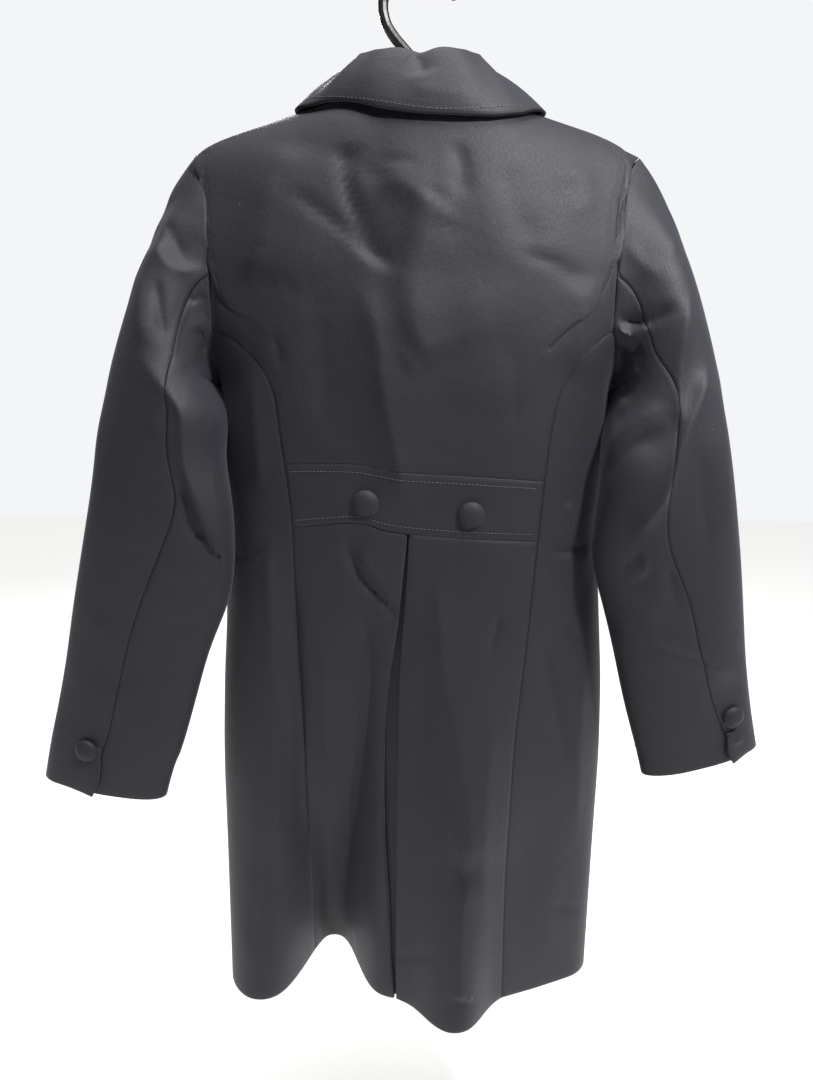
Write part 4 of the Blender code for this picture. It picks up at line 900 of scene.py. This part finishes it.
def intoPicture(pixel):
    # the way from the camera through a pixel of the photo
    s = cameraSet
    focal = s["lens"] / s["sensor"] * max(s["picture"])
    roll, pitch = math.radians(s["roll"]), math.radians(s["pitch"])
    a, b = pixel[0] - s["picture"][0] / 2, s["picture"][1] / 2 - pixel[1]
    a, b = a * math.cos(roll) - b * math.sin(roll), a * math.sin(roll) + b * math.cos(roll)
    a, b = a / focal, b / focal
    return Vector((a, math.cos(pitch) + b * math.sin(pitch), b * math.cos(pitch) - math.sin(pitch))).normalized()


def rowOnCloth(tree, settings):
    # where each row's curve meets the cloth, and the cloth's normal there
    for row in settings.get("rows", ()):
        flat = smoothLine(row)
        yield [tree.ray_cast(Vector((x * mm, -0.5, z * mm)), Vector((0, 1, 0)))[:2] for x, z in flat]
    for row in settings.get("pictureRows", ()):
        flat = smoothLine(row)
        yield [tree.ray_cast(Vector(cameraSet["place"]), intoPicture(pixel))[:2] for pixel in flat]


def addStitch(vertices, faces, start, end, normal, radius, around=6):
    along = (end - start).normalized()
    across = along.cross(normal).normalized()
    up = across.cross(along)
    first = len(vertices)
    rings = ((0.0, 0.25), (0.12, 0.8), (0.35, 1.0), (0.65, 1.0), (0.88, 0.8), (1.0, 0.25))
    for share, wide in rings:
        middle = start.lerp(end, share)
        for k in range(around):
            turn = 2 * math.pi * k / around
            vertices.append(middle + (across * math.cos(turn) + up * math.sin(turn)) * radius * wide)
    for r in range(len(rings) - 1):
        for k in range(around):
            a, b = first + r * around + k, first + r * around + (k + 1) % around
            faces.append((a, b, b + around, a + around))
    faces.append(tuple(first + k for k in range(around))[::-1])
    faces.append(tuple(first + (len(rings) - 1) * around + k for k in range(around)))


def makeStitches(name, settings):
    cloth = clothPieces[settings["piece"]]
    corners = [v.co for v in cloth.data.vertices]
    tree = BVHTree.FromPolygons(corners, [tuple(f.vertices) for f in cloth.data.polygons])
    vertices, faces = [], []
    radius = settings["radius"] * mm
    for row in rowOnCloth(tree, settings):
        row = [hit for hit in row if hit[0] is not None]
        gone = np.cumsum([0] + [(b[0] - a[0]).length for a, b in zip(row, row[1:])])
        places = np.array([hit[0] for hit in row])
        step = (settings["long"] + settings["gap"]) * mm
        for k in range(int(gone[-1] / step)):
            start, end = (Vector([np.interp(at, gone, places[:, i]) for i in range(3)])
                          for at in (k * step, k * step + settings["long"] * mm))
            middle, normal, *rest = tree.find_nearest((start + end) / 2)
            lifted = normal * (radius - settings["sunk"] * mm)
            shift = middle - (start + end) / 2 + lifted
            addStitch(vertices, faces, start + shift, end + shift, normal, radius)
    mesh = bpy.data.meshes.new(name)
    mesh.from_pydata([tuple(v) for v in vertices], [], faces)
    piece = bpy.data.objects.new(name, mesh)
    scene.collection.objects.link(piece)
    pickOnly(piece)
    bpy.ops.object.shade_smooth()
    mesh.materials.append(seamThread)
    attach(piece, "root")
    print(name, len(faces), "faces")


for name, settings in stitchSet.items():
    makeStitches(name, settings)

# Covered buttons

buttonSet = {
    "rings": ((0.0, 0.98), (0.30, 0.955), (0.55, 0.86), (0.75, 0.70), (0.89, 0.50), (0.965, 0.32), (1.0, 0.17),
              (0.985, 0.07), (0.90, 0.015), (0.55, 0.0)),       # share of the radius, and of the height
    "around": 40,
}


def makeButton(node, settings):
    # a dome on the CAD button's own place, height and radius
    points = coordinates(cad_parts[node].data)
    centre = points.mean(0)
    low, high = points.min(0), points.max(0)
    spread = np.linalg.eigh(np.cov((points - (low + high) / 2).T))
    axis = spread[1][:, 0]      # the flat disc's thin way
    body = np.array([0.0, 0.0, centre[2]])
    if np.dot(axis, centre - body) < 0 and abs(axis[1]) > 0.3:      # away from the coat's middle
        axis = -axis
    if centre[1] < 0.02 and axis[1] > 0:                            # the back's buttons face the back
        axis = -axis
    along = points @ axis
    base, top = along.min(), along.max()
    across = points - np.outer(along, axis)
    middle = (across.min(0) + across.max(0)) / 2
    radius = np.linalg.norm(across - middle, axis=1).max()
    vertices, faces = [], []
    out = Vector(axis)
    u = out.orthogonal().normalized()
    w = out.cross(u)
    n = settings["around"]
    start = Vector(middle) + out * base
    tall = top - base
    vertices.append(start + out * tall * settings["rings"][0][1])
    for share, height in settings["rings"][1:]:
        for k in range(n):
            a = 2 * math.pi * k / n
            vertices.append(start + out * tall * height + (u * math.cos(a) + w * math.sin(a)) * radius * share)
    for k in range(n):
        faces.append((0, 1 + k, 1 + (k + 1) % n))
    count = len(settings["rings"]) - 1
    for r in range(count - 1):
        for k in range(n):
            a, b = 1 + r * n + k, 1 + r * n + (k + 1) % n
            faces.append((a, a + n, b + n, b))
    faces.append(tuple(1 + (count - 1) * n + k for k in range(n))[::-1])
    mesh = bpy.data.meshes.new(camel(node))
    mesh.from_pydata([tuple(v) for v in vertices], [], faces)
    piece = bpy.data.objects.new(camel(node), mesh)
    scene.collection.objects.link(piece)
    pickOnly(piece)
    bpy.ops.object.mode_set(mode="EDIT")
    bpy.ops.mesh.select_all(action="SELECT")
    bpy.ops.mesh.normals_make_consistent(inside=False)
    bpy.ops.object.mode_set(mode="OBJECT")
    smooth = piece.modifiers.new("smooth", "SUBSURF")
    smooth.levels = smooth.render_levels = 1
    bpy.ops.object.modifier_apply(modifier=smooth.name)
    bpy.ops.object.shade_smooth_by_angle(angle=math.radians(60))
    mesh.materials.append(buttonCloth)
    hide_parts(node)
    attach(piece, "root")


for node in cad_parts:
    if node.startswith("button"):
        makeButton(node, buttonSet)
print("buttons made")

# Hanger: the CAD nodes stay and get their finish

for node in ("hanger_arms", "hanger_hook"):
    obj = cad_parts[node]
    obj.data.materials.clear()
    obj.data.materials.append(blackPlastic)
print("hanger finished")
